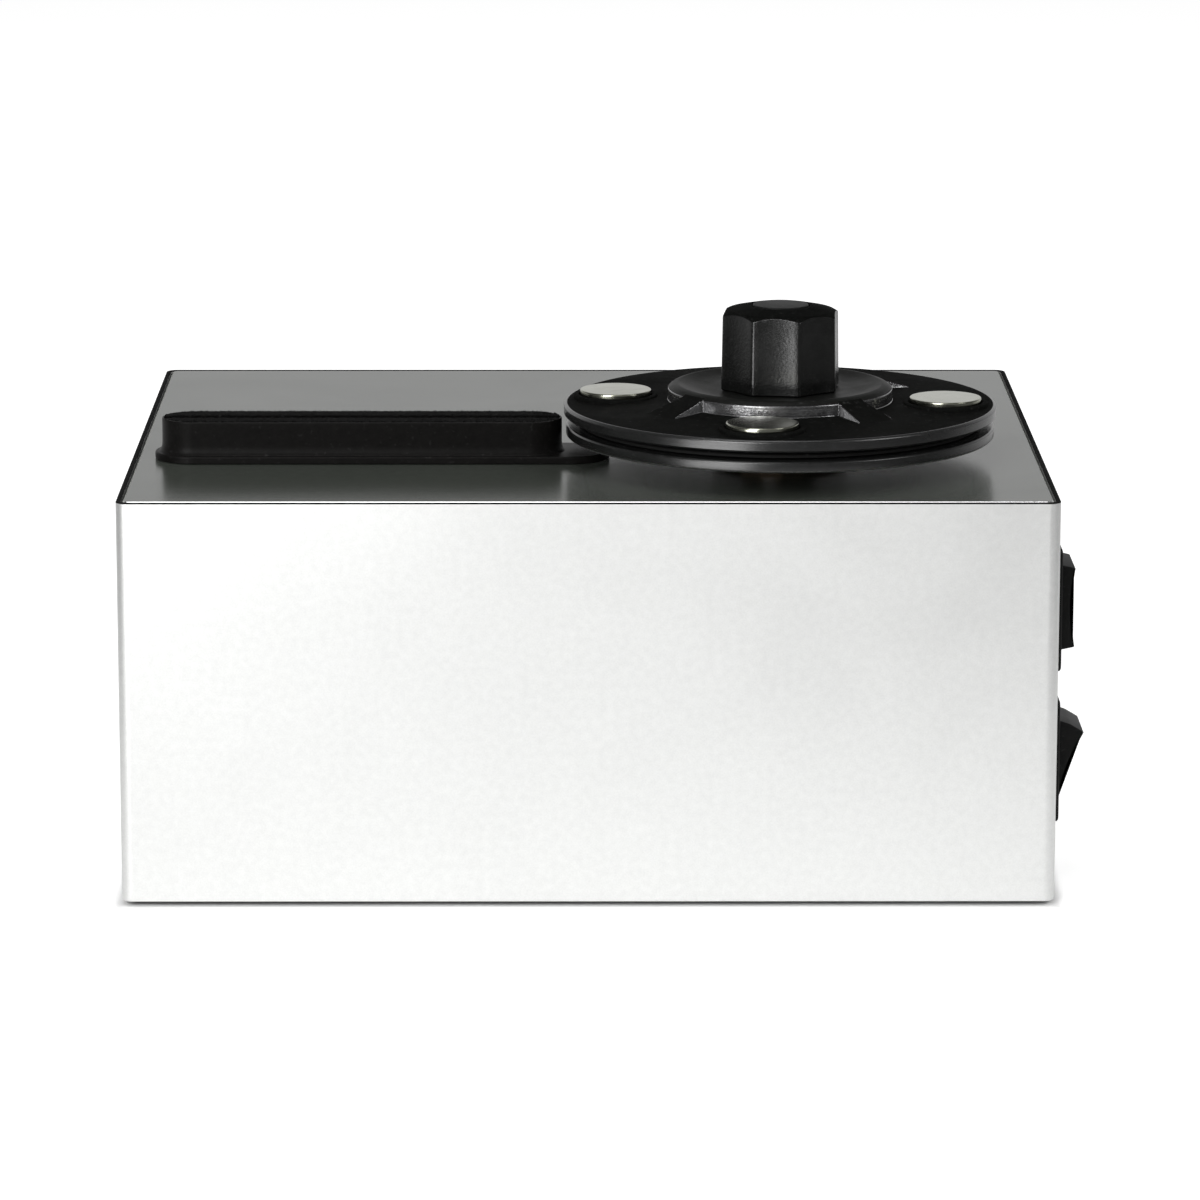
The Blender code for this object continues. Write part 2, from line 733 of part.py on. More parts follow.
seal_inner = seal_radius - seal_width
seal_roof = seal_thickness - seal_proud + seat_gap
rim_arc = arc((rim_inner, clamp_edge_height - clamp_edge_round), clamp_edge_round, math.pi / 2, 0, 3)
clamp_profile = ([(0, clamp_surface(hub_radius)), (hub_radius, clamp_surface(hub_radius))] + rim_arc
                 + [(clamp_radius, clamp_foot_chamfer), (clamp_radius - clamp_foot_chamfer, 0),
                    (seal_radius + seat_gap, 0), (seal_radius + seat_gap, seal_roof),
                    (seal_inner - seat_gap, seal_roof), (seal_inner - seat_gap, 0), (0, 0)])
clamp_turned = (0, 0, clamp_turn)
clamp = piece("clamp_disc", turned(clamp_profile, fine_sides), "black_moulded", turn=clamp_turned,
              parent=clamp_axis)

hub_lip = hub_radius - hub_ridge_width
rib_foot = hub_radius + rib_reach
rib_base = clamp_surface(hub_radius) / 2
rib_slope = (hub_top - clamp_surface(rib_foot)) / rib_reach
hub_profile = [(0, hub_floor), (dish_radius, hub_floor),
               ((dish_radius + hub_lip) / 2, hub_floor + dish_middle_rise),
               (hub_lip, hub_ridge), (hub_radius - hub_lip_round, hub_ridge - hub_lip_drop), (hub_radius, hub_top),
               (rib_foot + overrun, clamp_surface(rib_foot) - rib_slope * overrun), (rib_foot + overrun, rib_base),
               (0, rib_base)]
hub = tool("clamp_hub", turned(hub_profile, fine_sides), turn=clamp_turned, parent=clamp_axis)
pocket_inner = hub_radius - pocket_wall_cut
pocket_outer = rib_foot + 2 * overrun
magnet_turns = [2 * math.pi * index / magnet_count for index in range(magnet_count)]
pocket_outlines = []
for centre_turn in magnet_turns:
    start, end = centre_turn - pocket_half_angle, centre_turn + pocket_half_angle
    pocket_outlines.append(arc((0, 0), pocket_outer, start, end, pocket_steps)
                           + arc((0, 0), pocket_inner, end, start, pocket_steps))
cut(hub, tool("clamp_pockets", extruded(pocket_outlines, -overrun, hub_ridge + overrun), turn=clamp_turned,
              parent=clamp_axis))
join(clamp, hub)
cut(clamp, tool("clamp_bore_hole", rod(clamp_bore, -overrun, hub_ridge), parent=clamp_axis))

# Holes for the screws that come up from below into the knob
knob_low = hub_floor + seat_gap
knob_spots = circle_places(knob_screw_circle, knob_screw_count)
knob_screw_seat = screw_head_height + seat_gap
knob_screw_hole = rod(screw_radius + screw_play, -overrun, knob_low + knob_screw_grip, small_sides)
head_hole = rod(screw_head_radius + screw_play, -overrun, knob_screw_seat, small_sides)
knob_holes = tool("knob_screw_holes", joined_copies(knob_screw_hole, knob_spots), parent=clamp_axis)
cut(clamp, knob_holes)
cut(clamp, tool("knob_screw_heads", joined_copies(head_hole, knob_spots), parent=clamp_axis))

# Four magnets in shallow sockets
magnet_spots = circle_places(magnet_circle, magnet_count)
magnet_top = clamp_surface(magnet_circle) + magnet_proud
magnet_low = magnet_top - magnet_thickness
recess_radius = magnet_radius + seat_gap
socket = rod(recess_radius + socket_wall, magnet_low, clamp_surface(magnet_circle) + socket_height)
recess = rod(recess_radius, magnet_low - seat_gap, magnet_top)
join(clamp, tool("magnet_sockets", joined_copies(socket, magnet_spots), turn=clamp_turned, parent=clamp_axis))
cut(clamp, tool("magnet_recesses", joined_copies(recess, magnet_spots), turn=clamp_turned, parent=clamp_axis))
magnet_profile = ([(0, magnet_top)] + arc((magnet_radius - magnet_round, magnet_top - magnet_round), magnet_round,
                                          math.pi / 2, 0, 2) + [(magnet_radius, magnet_low), (0, magnet_low)])
for index, turn in enumerate(magnet_turns):
    spot = Matrix.Rotation(turn + clamp_turn, 4, "Z") @ Vector((magnet_circle, 0, 0))
    piece(f"magnet_{index + 1}", turned(magnet_profile, round_sides), "nickel", spot, parent=clamp_axis)
piece("clamp_seal", tube(seal_radius, seal_inner, -seal_proud, seal_thickness - seal_proud, fine_sides),
      "black_rubber", parent=clamp_axis)

# Knob: a tapered eight-sided grip cut to a chamfered and slightly domed crown
knob_place = (0, 0, knob_low)
knob_turned = (0, 0, knob_turn)
corner_phase = math.pi / knob_facets


def knob_ring(radius, height):
    return [Vector((spot.x, spot.y, height)) for spot in circle_places(radius, knob_facets, 0, corner_phase)]


bm = bmesh.new()
bm.from_mesh(lofted([knob_ring(knob_corner_radius, 0), knob_ring(knob_corner_radius - knob_taper, knob_height)]))
upright = [edge for edge in bm.edges if abs(edge.verts[0].co.z - edge.verts[1].co.z) > knob_height / 2]
bmesh.ops.bevel(bm, geom=upright, offset=knob_edge_round, segments=2, profile=0.5, affect="EDGES")
knob = piece("clamp_knob", finished_mesh(bm, True), "black_satin", knob_place, knob_turned, clamp_axis)
crown_radius = knob_corner_radius - knob_chamfer_width
crown_edge = knob_height - knob_dome
crown_low = crown_edge - knob_chamfer_height * (1 + overrun / knob_chamfer_width)
crown = turned([(0, knob_height), (cap_radius + cap_rim, knob_height), (crown_radius, crown_edge),
                (knob_corner_radius + overrun, crown_low),
                (knob_corner_radius + overrun, -overrun), (0, -overrun)], fine_sides)
combine(knob, tool("knob_crown", crown, knob_place, knob_turned, clamp_axis), "INTERSECT")
cap_high = knob_height + cap_proud
cap_low = cap_high - cap_thickness
cut(knob, tool("knob_cap_recess", rod(cap_radius + seat_gap, cap_low - seat_gap, cap_high + overrun), knob_place,
               knob_turned, clamp_axis))
piece("knob_cap", turned([(0, cap_high), (cap_radius - cap_edge, cap_high), (cap_radius, cap_high - cap_edge),
                          (cap_radius, cap_low), (0, cap_low)], round_sides), "black_moulded", knob_place,
      knob_turned, clamp_axis)
cut(knob, knob_holes)

# Suction head: a long block on a flange, slotted along its top, with a spigot down through the plate
head_place = (head_right, spindle_y, deck + seat_gap)
lip_top = mat_top - deck - seat_gap
head_top = lip_top - lip_thickness - seat_gap
half_width = head_width / 2


def head_ring(step, height, reach=0):
    outline = stadium(-head_length - step, reach + step, half_width + step)
    return [Vector((x, y, height)) for x, y in outline]


flange_edge = head_flange_thickness / 4
flange_rings = [(head_flange_step, 0), (head_flange_step, head_flange_thickness - flange_edge),
                (head_flange_step - flange_edge, head_flange_thickness)]
flange_reach = head_flange_reach - head_flange_step
head = piece("suction_head", lofted([head_ring(step, height, flange_reach) for step, height in flange_rings]),
             "black_moulded", head_place)
body_rings = [(head_flange_step - flange_edge, head_flange_thickness / 2)]
for index in range(head_fillet_steps + 1):
    swing = math.pi / 2 * index / head_fillet_steps
    body_rings.append(((head_flange_step - 2 * flange_edge) * (1 - math.sin(swing)),
                       head_flange_thickness + head_fillet * (1 - math.cos(swing))))
body_rings += [(0, head_top - lip_inset), (-lip_inset / 2, head_top)]
join(head, tool("head_body", lofted([head_ring(step, height) for step, height in body_rings]), head_place))
duct_length = head_length - 2 * head_slot_margin
duct_height = head_top - head_duct_roof - head_flange_thickness
cut(head, tool("head_duct", block(duct_length, head_duct_width, duct_height),
               (duct_centre[0], duct_centre[1], duct_centre[2] + head_flange_thickness)))
slot = extruded([stadium(-duct_length / 2, duct_length / 2, head_slot_width / 2, 4)], head_top - 2 * head_duct_roof,
                head_top + overrun)
cut(head, tool("head_slot", slot, duct_centre))

# Felt lips on both sides of the slot
lip_half = half_width - lip_inset
lip_split = head_slot_width / 2 + lip_slot_gap
lip_turn = math.asin(lip_split / lip_half)
lip_end = head_length / 2 - half_width
lip_outline = (arc((lip_end, 0), lip_half, -math.pi / 2, -lip_turn, lip_steps)
               + arc((-lip_end, 0), lip_half, math.pi + lip_turn, 3 * math.pi / 2, lip_steps))
lip_low = head_top + seat_gap
for side, sign in (("front", 1), ("back", -1)):
    outline = [(x, sign * y) for x, y in lip_outline]
    piece("lip_" + side, extruded([outline], lip_low, lip_low + lip_thickness), "black_felt", duct_centre)

# Waste tank under the head, its lid and the spigot that drops into the lid's collar
tank_low = base_top + seat_gap
tank_top = tank_low + tank_height
lid_low = tank_top + seat_gap
collar_top = lid_low + lid_thickness + lid_collar_height
spigot_low = collar_top - spigot_engagement - duct_centre[2]
join(head, tool("head_spigot", rod(head_spigot_radius, spigot_low, head_flange_thickness / 2), duct_centre))
spigot_bore = rod(head_spigot_radius - head_spigot_wall, spigot_low - overrun, head_flange_thickness + overrun)
cut(head, tool("head_spigot_bore", spigot_bore, duct_centre))
cut(top_plate, tool("plate_hole_spigot", rod(head_spigot_radius + seat_gap, -overrun, plate_thickness + overrun),
                    (duct_centre[0], spindle_y, deck_under)))

tank_place = (tank_x, spindle_y, tank_low)
tank = piece("waste_tank", block(tank_width, tank_depth, tank_height, tank_corner), "clear_plastic", tank_place)
tank_inside = block(tank_width - 2 * tank_wall, tank_depth - 2 * tank_wall, tank_height, tank_corner - tank_wall)
cut(tank, tool("tank_inside", tank_inside, (tank_x, spindle_y, tank_low + tank_wall)))
lid_place = (tank_x, spindle_y, lid_low)
lid = piece("tank_lid", block(tank_width, tank_depth, lid_thickness, tank_corner), "black_moulded", lid_place)
lip_width = tank_width - 2 * (tank_wall + seat_gap)
lip_depth = tank_depth - 2 * (tank_wall + seat_gap)
join(lid, tool("tank_lid_lip", block(lip_width, lip_depth, lid_lip + lid_thickness / 2, tank_corner - tank_wall),
               (tank_x, spindle_y, lid_low - lid_lip)))
collar_radius = head_spigot_radius + seat_gap + lid_collar_wall
join(lid, tool("tank_lid_collar", rod(collar_radius, lid_thickness / 2, lid_thickness + lid_collar_height),
               (duct_centre[0], spindle_y, lid_low)))
lid_bore = rod(head_spigot_radius + seat_gap, -lid_lip - overrun, lid_thickness + lid_collar_height + overrun)
cut(lid, tool("tank_lid_bore", lid_bore, (duct_centre[0], spindle_y, lid_low)))

# Suction blower behind the tank, its axis along Y
blower_x = duct_centre[0]
blower_z = base_top + inside_height / 2
tank_back = spindle_y + tank_depth / 2
neck_pair = 2 * tank_neck_length + neck_gap
blower_front = tank_back + neck_pair
neck_bore = tank_neck_radius - tank_neck_wall
join(tank, tool("tank_neck", rod(tank_neck_radius, -tank_wall / 2, tank_neck_length),
                (blower_x, tank_back, blower_z), along_y))
cut(tank, tool("tank_neck_bore", rod(neck_bore, -tank_wall - overrun, tank_neck_length + overrun),
               (blower_x, tank_back, blower_z), along_y))
sleeve_length = neck_pair - 2 * seat_gap
piece("intake_sleeve", tube(tank_neck_radius + seat_gap + sleeve_wall, tank_neck_radius + seat_gap, 0, sleeve_length),
      "tube_rubber", (blower_x, tank_back + seat_gap, blower_z), along_y)


def volute(shrink, bottom, top, horn_extra):
    # A scroll that widens over one turn, and its outlet horn to the right at the bottom
    spiral = []
    for index in range(round_sides + 1):
        radius = blower_radius - shrink + blower_growth * index / round_sides
        turn = math.pi / 2 - 2 * math.pi * index / round_sides
        spiral.append((radius * math.cos(turn), radius * math.sin(turn)))
    widest = blower_radius + blower_growth
    horn_inner = widest - blower_horn_height + shrink
    horn_end = widest + blower_horn_reach + horn_extra
    horn_outline = [(-blower_horn_height / 2, horn_inner), (horn_end, horn_inner), (horn_end, widest - shrink),
                    (0, widest - shrink)]
    return extruded([spiral], bottom, top), extruded([horn_outline], bottom, top)


blower_place = (blower_x, blower_front, blower_z)
scroll, horn = volute(0, 0, blower_depth, 0)
blower = piece("blower_housing", scroll, "black_moulded", blower_place, along_y)
join(blower, tool("blower_horn", horn, blower_place, along_y))
join(blower, tool("blower_neck", rod(tank_neck_radius, -tank_neck_length, blower_wall / 2), blower_place, along_y))
scroll, horn = volute(blower_wall, blower_wall, blower_depth + overrun, 2 * overrun)
cut(blower, tool("blower_inside", scroll, blower_place, along_y))
cut(blower, tool("blower_horn_inside", horn, blower_place, along_y))
cut(blower, tool("blower_neck_bore", rod(neck_bore, -tank_neck_length - overrun, blower_wall + overrun),
                 blower_place, along_y))
cover_low = blower_depth + seat_gap
scroll, horn = volute(0, cover_low, cover_low + cover_thickness, 0)
cover = piece("blower_cover", scroll, "black_moulded", blower_place, along_y)
join(cover, tool("blower_cover_horn", horn, blower_place, along_y))
motor_low = cover_low + cover_thickness + seat_gap
axle_low = blower_depth - fan_clearance - fan_disc_thickness - fan_blade_height
axle_high = axle_low + fan_axle_length + fan_blade_height
axle_hole = rod(fan_axle_radius + running_gap, cover_low - overrun, axle_high + seat_gap, small_sides)
axle_tool = tool("fan_axle_hole", axle_hole, blower_place, along_y)
cut(cover, axle_tool)
motor_high = motor_low + blower_motor_length
blower_motor = piece("blower_motor", turned([(0, motor_high), (blower_motor_radius - corner_radius, motor_high),
                                             (blower_motor_radius, motor_high - corner_radius),
                                             (blower_motor_radius, motor_low), (0, motor_low)], round_sides),
                     "steel", blower_place, along_y)
cut(blower_motor, axle_tool)

# Blower wheel: a disc with swept blades and the axle that goes into the motor
fan_axis = axis_empty("fan_axis", blower_place)
disc_low = blower_depth - fan_clearance - fan_disc_thickness
disc_high = disc_low + fan_disc_thickness
wheel = piece("blower_wheel", turned([(0, axle_high), (fan_axle_radius, axle_high), (fan_axle_radius, disc_high),
                                      (fan_radius, disc_high), (fan_radius, disc_low), (fan_hub_radius, disc_low),
                                      (fan_hub_radius, axle_low), (0, axle_low)], round_sides),
              "black_moulded", turn=along_y, parent=fan_axis)
blade_root = fan_hub_radius - fan_blade_thickness / 2
blade_tip = fan_radius - fan_blade_thickness / 2


def blade_side(first, side):
    points = []
    for index in range(blade_steps + 1):
        share = index / blade_steps
        radius = blade_root + (blade_tip - blade_root) * share
        turn = first + fan_blade_sweep * share + side * fan_blade_thickness / 2 / radius
        points.append((radius * math.cos(turn), radius * math.sin(turn)))
    return points


blade_outlines = []
for index in range(fan_blade_count):
    first = 2 * math.pi * index / fan_blade_count
    blade_outlines.append(blade_side(first, -1) + blade_side(first, 1)[::-1])
join(wheel, tool("wheel_blades", extruded(blade_outlines, axle_low + fan_blade_thickness,
                                          disc_low + fan_disc_thickness / 2), turn=along_y, parent=fan_axis))

# Saddle that carries the blower motor on the base plate
saddle_height = blower_z - blower_motor_radius / 2 - tank_low
saddle_y = blower_front + motor_low + blower_motor_length / 2
saddle = piece("motor_saddle", block(saddle_width, saddle_depth, saddle_height), "black_steel",
               (blower_x, saddle_y, tank_low))
cut(saddle, tool("saddle_bed", rod(blower_motor_radius + seat_gap, 0, saddle_depth + 2 * overrun),
                 (blower_x, saddle_y - saddle_depth / 2 - overrun, blower_z), along_y))
window_height = saddle_height - 2 * saddle_wall - blower_motor_radius / 2
cut(saddle, tool("saddle_window", block(saddle_width - 2 * saddle_wall, saddle_depth + 2 * overrun, window_height),
                 (blower_x, saddle_y, tank_low + saddle_wall)))

# Drain: a tube from the tank to a nozzle in the back wall, closed by a pull-off cap
nozzle_flange_low = -wall - seat_gap - nozzle_flange_thickness
drain_place = (drain_x, back, drain_z)
tube_start = tank_back + seat_gap
tube_end = back + nozzle_flange_low - seat_gap
piece("drain_tube", tube(drain_tube_radius, drain_bore_radius, 0, tube_end - tube_start, small_sides),
      "tube_rubber", (drain_x, tube_start, drain_z), along_y)
cut(tank, tool("tank_drain_hole", rod(drain_bore_radius, -tank_wall - overrun, overrun, small_sides),
               (drain_x, tank_back, drain_z), along_y))
piece("drain_nozzle", turned([(drain_bore_radius, nozzle_reach), (nozzle_radius, nozzle_reach),
                              (nozzle_radius, nozzle_flange_low + nozzle_flange_thickness),
                              (nozzle_flange_radius, nozzle_flange_low + nozzle_flange_thickness),
                              (nozzle_flange_radius, nozzle_flange_low), (drain_bore_radius, nozzle_flange_low)],
                             small_sides, True), "black_moulded", drain_place, along_y)
nut_outline = [(spot.x, spot.y) for spot in circle_places(nut_corner_radius, nut_sides)]
nut = piece("drain_nut", extruded([nut_outline], seat_gap, seat_gap + nut_thickness), "black_moulded", drain_place,
            along_y)
cap_bore = nozzle_radius + seat_gap
cut(nut, tool("drain_nut_bore", rod(cap_bore, -overrun, nut_thickness + overrun, small_sides), drain_place,
              along_y))
cap_roof = nozzle_reach + seat_gap
cap_start = cap_roof - cap_depth
piece("drain_cap", turned([(0, nozzle_end), (cap_bore + cap_wall, nozzle_end),
                           (cap_bore + cap_wall, cap_start + cap_grip_thickness),
                           (cap_grip_radius, cap_start + cap_grip_thickness), (cap_grip_radius, cap_start),
                           (cap_bore, cap_start), (cap_bore, cap_roof), (0, cap_roof)], small_sides),
      "black_rubber", drain_place, along_y)

# Rocker switches: a bezel and tub in the right wall, and a rocker on trunnions
stand_up = (math.pi / 2, 0, 0)
bezel_plane = right + seat_gap + bezel_thickness
pivot_x = right - pivot_inside
opening_height = bezel_height - 2 * bezel_border
opening_depth = rocker_depth + 2 * rocker_side_gap
trunnion_half = rocker_depth / 2 + trunnion_length


def rocker_mesh():
    # Outline from the pivot outwards: a dished face, sloped ends and a body that narrows behind the pivot
    half = rocker_height / 2
    dish_curve = (half ** 2 + rocker_dish ** 2) / (2 * rocker_dish)
    swing = math.asin(half / dish_curve)
    face = arc((rocker_corner_out - rocker_dish + dish_curve, 0), dish_curve, math.pi - swing, math.pi + swing, 8)
    shoulder = half + rocker_shoulder
    shoulder_out = rocker_corner_out - rocker_reach
    low_side = [(shoulder_out, -shoulder), (rocker_skirt, -shoulder), (-rocker_body, -half / 2)]
    outline = face + low_side + [(x, -y) for x, y in reversed(low_side)]
    return extruded([outline], -rocker_depth / 2, rocker_depth / 2)


for level, height in switch_heights.items():
    wall_place = (right + seat_gap, switch_y, height)
    bezel = block(bezel_height, bezel_depth, bezel_thickness, bezel_round, bezel_edge)
    frame = piece("switch_frame_" + level, bezel, "black_moulded", wall_place, along_x)
    tub_place = (right + seat_gap - tub_length, switch_y, height)
    tub = block(tub_height, tub_depth, tub_length + bezel_thickness / 2)
    join(frame, tool("tub_" + level, tub, tub_place, along_x))
    cavity_place = (bezel_plane - tub_cavity, switch_y, height)
    cut(frame, tool("tub_cavity_" + level, block(opening_height, opening_depth, tub_cavity + overrun), cavity_place,
                    along_x))
    pivot_place = (pivot_x, switch_y, height)
    bearing = rod(trunnion_radius + seat_gap, -tub_depth / 2 - overrun, tub_depth / 2 + overrun, small_sides)
    cut(frame, tool("trunnion_holes_" + level, bearing, pivot_place, along_y))
    rocker_axis = axis_empty("rocker_axis_" + level, pivot_place)
    tilt = rocker_throw if level == "lower" else 0
    rocker_turned = (stand_up[0], tilt, 0)
    rocker = piece("rocker_" + level, rocker_mesh(), "black_moulded", turn=rocker_turned, parent=rocker_axis)
    join(rocker, tool("trunnions_" + level, rod(trunnion_radius, -trunnion_half, trunnion_half, small_sides),
                      turn=along_y, parent=rocker_axis))

# Mains inlet in the back wall, with its contacts and a fuse drawer
inlet_face = back + seat_gap
flange_face = inlet_face + inlet_flange_thickness
inlet = piece("power_inlet", block(inlet_flange_width, inlet_flange_height, inlet_flange_thickness, bezel_round,
                                   bezel_edge), "black_moulded", (inlet_x, inlet_face, inlet_z), along_y)
body_back = inlet_face - inlet_body_length
join(inlet, tool("inlet_body", block(inlet_body_width, inlet_body_height, inlet_body_length + bezel_edge),
                 (inlet_x, body_back, inlet_z), along_y))
socket_z = inlet_z + socket_rise
half_socket = socket_width / 2
half_opening = socket_opening / 2
socket_outline = [(-half_socket, half_opening), (-half_socket, socket_corner - half_opening),
                  (socket_corner - half_socket, -half_opening), (half_socket - socket_corner, -half_opening),
                  (half_socket, socket_corner - half_opening), (half_socket, half_opening)]
cut(inlet, tool("inlet_socket", extruded([socket_outline], -socket_depth, overrun),
                (inlet_x, flange_face, socket_z), along_y))
contact_front = flange_face - socket_depth + contact_length
contact_back = body_back - contact_tail
contact_places = {"live": (inlet_x - contact_spread, socket_z - contact_offset / 2),
                  "neutral": (inlet_x + contact_spread, socket_z - contact_offset / 2),
                  "earth": (inlet_x, socket_z + contact_offset / 2)}
contact_middle = (contact_front + contact_back) / 2
contact_low = contact_width / 2
for line, (x, z) in contact_places.items():
    contact = block(contact_thickness, contact_front - contact_back, contact_width)
    piece("contact_" + line, contact, "nickel", (x, contact_middle, z - contact_low))
web = flange_face - socket_depth - body_back
contact_hole = block(contact_thickness + 2 * seat_gap, web + 2 * overrun, contact_width + 2 * seat_gap)
hole_spots = [Vector((x, body_back + web / 2, z - contact_low - seat_gap)) for x, z in contact_places.values()]
cut(inlet, tool("contact_holes", joined_copies(contact_hole, hole_spots)))

drawer_z = inlet_z - drawer_drop
drawer_inner = flange_face - drawer_length
cut(inlet, tool("drawer_slot", block(drawer_width + 2 * seat_gap, drawer_height + 2 * seat_gap,
                                     drawer_length + seat_gap + overrun),
                (inlet_x, drawer_inner - seat_gap, drawer_z), along_y))
drawer_body = block(drawer_width, drawer_height, drawer_length + seat_gap + drawer_lip / 2)
drawer = piece("fuse_drawer", drawer_body, "black_moulded", (inlet_x, drawer_inner, drawer_z), along_y)
drawer_face = block(drawer_width + 2 * drawer_rim, drawer_height + 2 * drawer_rim, drawer_lip)
join(drawer, tool("drawer_face", drawer_face, (inlet_x, flange_face + seat_gap, drawer_z), along_y))
fuse_y = drawer_inner + fuse_from_end + fuse_radius
trough_low = drawer_z - fuse_radius - seat_gap
trough = block(fuse_length + 2 * seat_gap, 2 * (fuse_radius + seat_gap), drawer_height)
cut(drawer, tool("fuse_trough", trough, (inlet_x, fuse_y, trough_low)))
piece("fuse", rod(fuse_radius, -fuse_length / 2, fuse_length / 2, small_sides), "glass",
      (inlet_x, fuse_y, drawer_z), along_x)

# Run capacitor of the gear motor, held by a clip on the base plate
capacitor_place = (right - capacitor_from_right, back - capacitor_from_back, tank_low)
piece("run_capacitor", turned([(0, capacitor_height), (capacitor_radius - overrun, capacitor_height),
                               (capacitor_radius, capacitor_height - overrun), (capacitor_radius, 0), (0, 0)],
                              round_sides), "steel", capacitor_place)
clip_inner = capacitor_radius + seat_gap
clip = piece("capacitor_clip", tube(clip_inner + clip_wall, clip_inner, 0, clip_height), "black_moulded",
             capacitor_place)
foot_x = capacitor_place[0] + clip_inner + clip_wall / 2 + clip_foot / 2
join(clip, tool("clip_foot", block(clip_foot, clip_foot, clip_wall), (foot_x, capacitor_place[1], tank_low)))
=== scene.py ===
from math import acos, asin, atan2, cos, degrees, pi, radians, sin

import bmesh
import bpy
import numpy as np
from mathutils import Matrix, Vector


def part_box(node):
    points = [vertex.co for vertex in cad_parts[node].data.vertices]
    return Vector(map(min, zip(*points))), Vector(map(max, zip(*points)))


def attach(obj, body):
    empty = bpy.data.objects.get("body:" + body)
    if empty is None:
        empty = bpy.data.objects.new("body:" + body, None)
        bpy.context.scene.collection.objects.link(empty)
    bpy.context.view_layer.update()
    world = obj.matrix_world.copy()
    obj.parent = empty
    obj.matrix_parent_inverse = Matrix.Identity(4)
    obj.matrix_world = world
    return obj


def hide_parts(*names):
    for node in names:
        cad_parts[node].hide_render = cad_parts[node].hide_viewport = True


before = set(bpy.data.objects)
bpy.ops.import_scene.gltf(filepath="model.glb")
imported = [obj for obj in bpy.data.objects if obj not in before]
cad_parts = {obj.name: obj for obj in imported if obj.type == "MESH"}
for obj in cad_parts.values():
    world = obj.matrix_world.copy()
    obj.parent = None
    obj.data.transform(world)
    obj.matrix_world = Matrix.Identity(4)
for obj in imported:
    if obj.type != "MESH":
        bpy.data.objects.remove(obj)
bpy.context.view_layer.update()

mm = 0.001  # pieces are worked out in millimetres and stored in metres


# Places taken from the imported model

def boxOf(node):
    low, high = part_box(node)
    return np.array(low) / mm, np.array(high) / mm


def middleOf(node):
    low, high = boxOf(node)
    return (low + high) / 2


(left, front, edgeBottom), (right, back, deck) = boxOf("housing_wrap")
housingX, housingY = (left + right) / 2, (front + back) / 2
spindleX, spindleY = middleOf("platter")[:2]
spindle = (spindleX, spindleY, 0)
sealProud = 0.7
clampUnder = boxOf("clamp_seal")[0][2] + sealProud
corners = ("front_left", "front_right", "back_left", "back_right")


# Shader helpers

def feed(tree, node, inputs):  # an input gets a value, or a link where it comes from another node
    for key, value in inputs.items():
        if isinstance(value, bpy.types.NodeSocket):
            tree.links.new(value, node.inputs[key])
        else:
            node.inputs[key].default_value = value
    return node


def addNode(tree, kind, inputs=None, **settings):
    node = tree.nodes.new("ShaderNode" + kind)
    for key, value in settings.items():
        setattr(node, key, value)
    return feed(tree, node, inputs or {})


def calc(tree, operation, *values, kind="Math"):
    node = addNode(tree, kind, dict(enumerate(values)), operation=operation)
    return node.outputs["Value" if operation == "LENGTH" else 0]


def remap(tree, value, source, target=(0.0, 1.0), smooth=False):
    # Takes the source range to the target range and holds the value at its ends
    names = ("Value", "From Min", "From Max", "To Min", "To Max")
    way = "SMOOTHSTEP" if smooth else "LINEAR"
    inputs = dict(zip(names, (value, *source, *target)))
    return addNode(tree, "MapRange", inputs, interpolation_type=way).outputs["Result"]


def noise(tree, place, scale, detail, **more):
    inputs = {"Vector": place, "Scale": scale, "Detail": detail, **more}
    return addNode(tree, "TexNoise", inputs).outputs["Fac"]


def partsOf(tree, vector):
    return addNode(tree, "SeparateXYZ", {0: vector}).outputs


def placeIn(tree):
    return addNode(tree, "TexCoord").outputs["Object"]


def mixColours(tree, factor, first, second):
    return addNode(tree, "Mix", {0: factor, 6: first, 7: second}, data_type="RGBA").outputs[2]


def newGroup(name, inputs, outputs):
    group = bpy.data.node_groups.new(name, "ShaderNodeTree")
    for title, value in inputs.items():
        kind = "NodeSocketVector" if isinstance(value, tuple) else "NodeSocketFloat"
        group.interface.new_socket(title, in_out="INPUT", socket_type=kind).default_value = value
    for title in outputs:
        group.interface.new_socket(title, in_out="OUTPUT", socket_type="NodeSocketFloat")
    return group, group.nodes.new("NodeGroupInput").outputs, group.nodes.new("NodeGroupOutput").inputs


def useGroup(tree, group, **values):
    return addNode(tree, "Group", values, node_tree=group).outputs


def makeGrain(widerScale=0.23, widerDetail=3.0):  # fine pits all over a surface, and a slower change of shade
    group, given, out = newGroup("surfaceGrain", {"Scale": 3000.0, "Detail": 2.0}, ["Height", "Shade"])
    place = placeIn(group)
    fine = noise(group, place, given["Scale"], given["Detail"])
    wide = noise(group, place, calc(group, "MULTIPLY", given["Scale"], widerScale), widerDetail)
    group.links.new(fine, out["Height"])
    group.links.new(calc(group, "MULTIPLY", calc(group, "ADD", fine, wide), 0.5), out["Shade"])
    return group


def makeSmudge(cloudRange=(0.3, 0.7)):  # slow patches of handling and polish, as a factor on the roughness
    group, given, out = newGroup("handlingSmudge", {"Scale": 30.0, "Low": 0.9, "High": 1.1}, ["Factor"])
    cloud = noise(group, placeIn(group), given["Scale"], 4.0, Roughness=0.6, Distortion=0.4)
    group.links.new(remap(group, cloud, cloudRange, (given["Low"], given["High"])), out["Factor"])
    return group


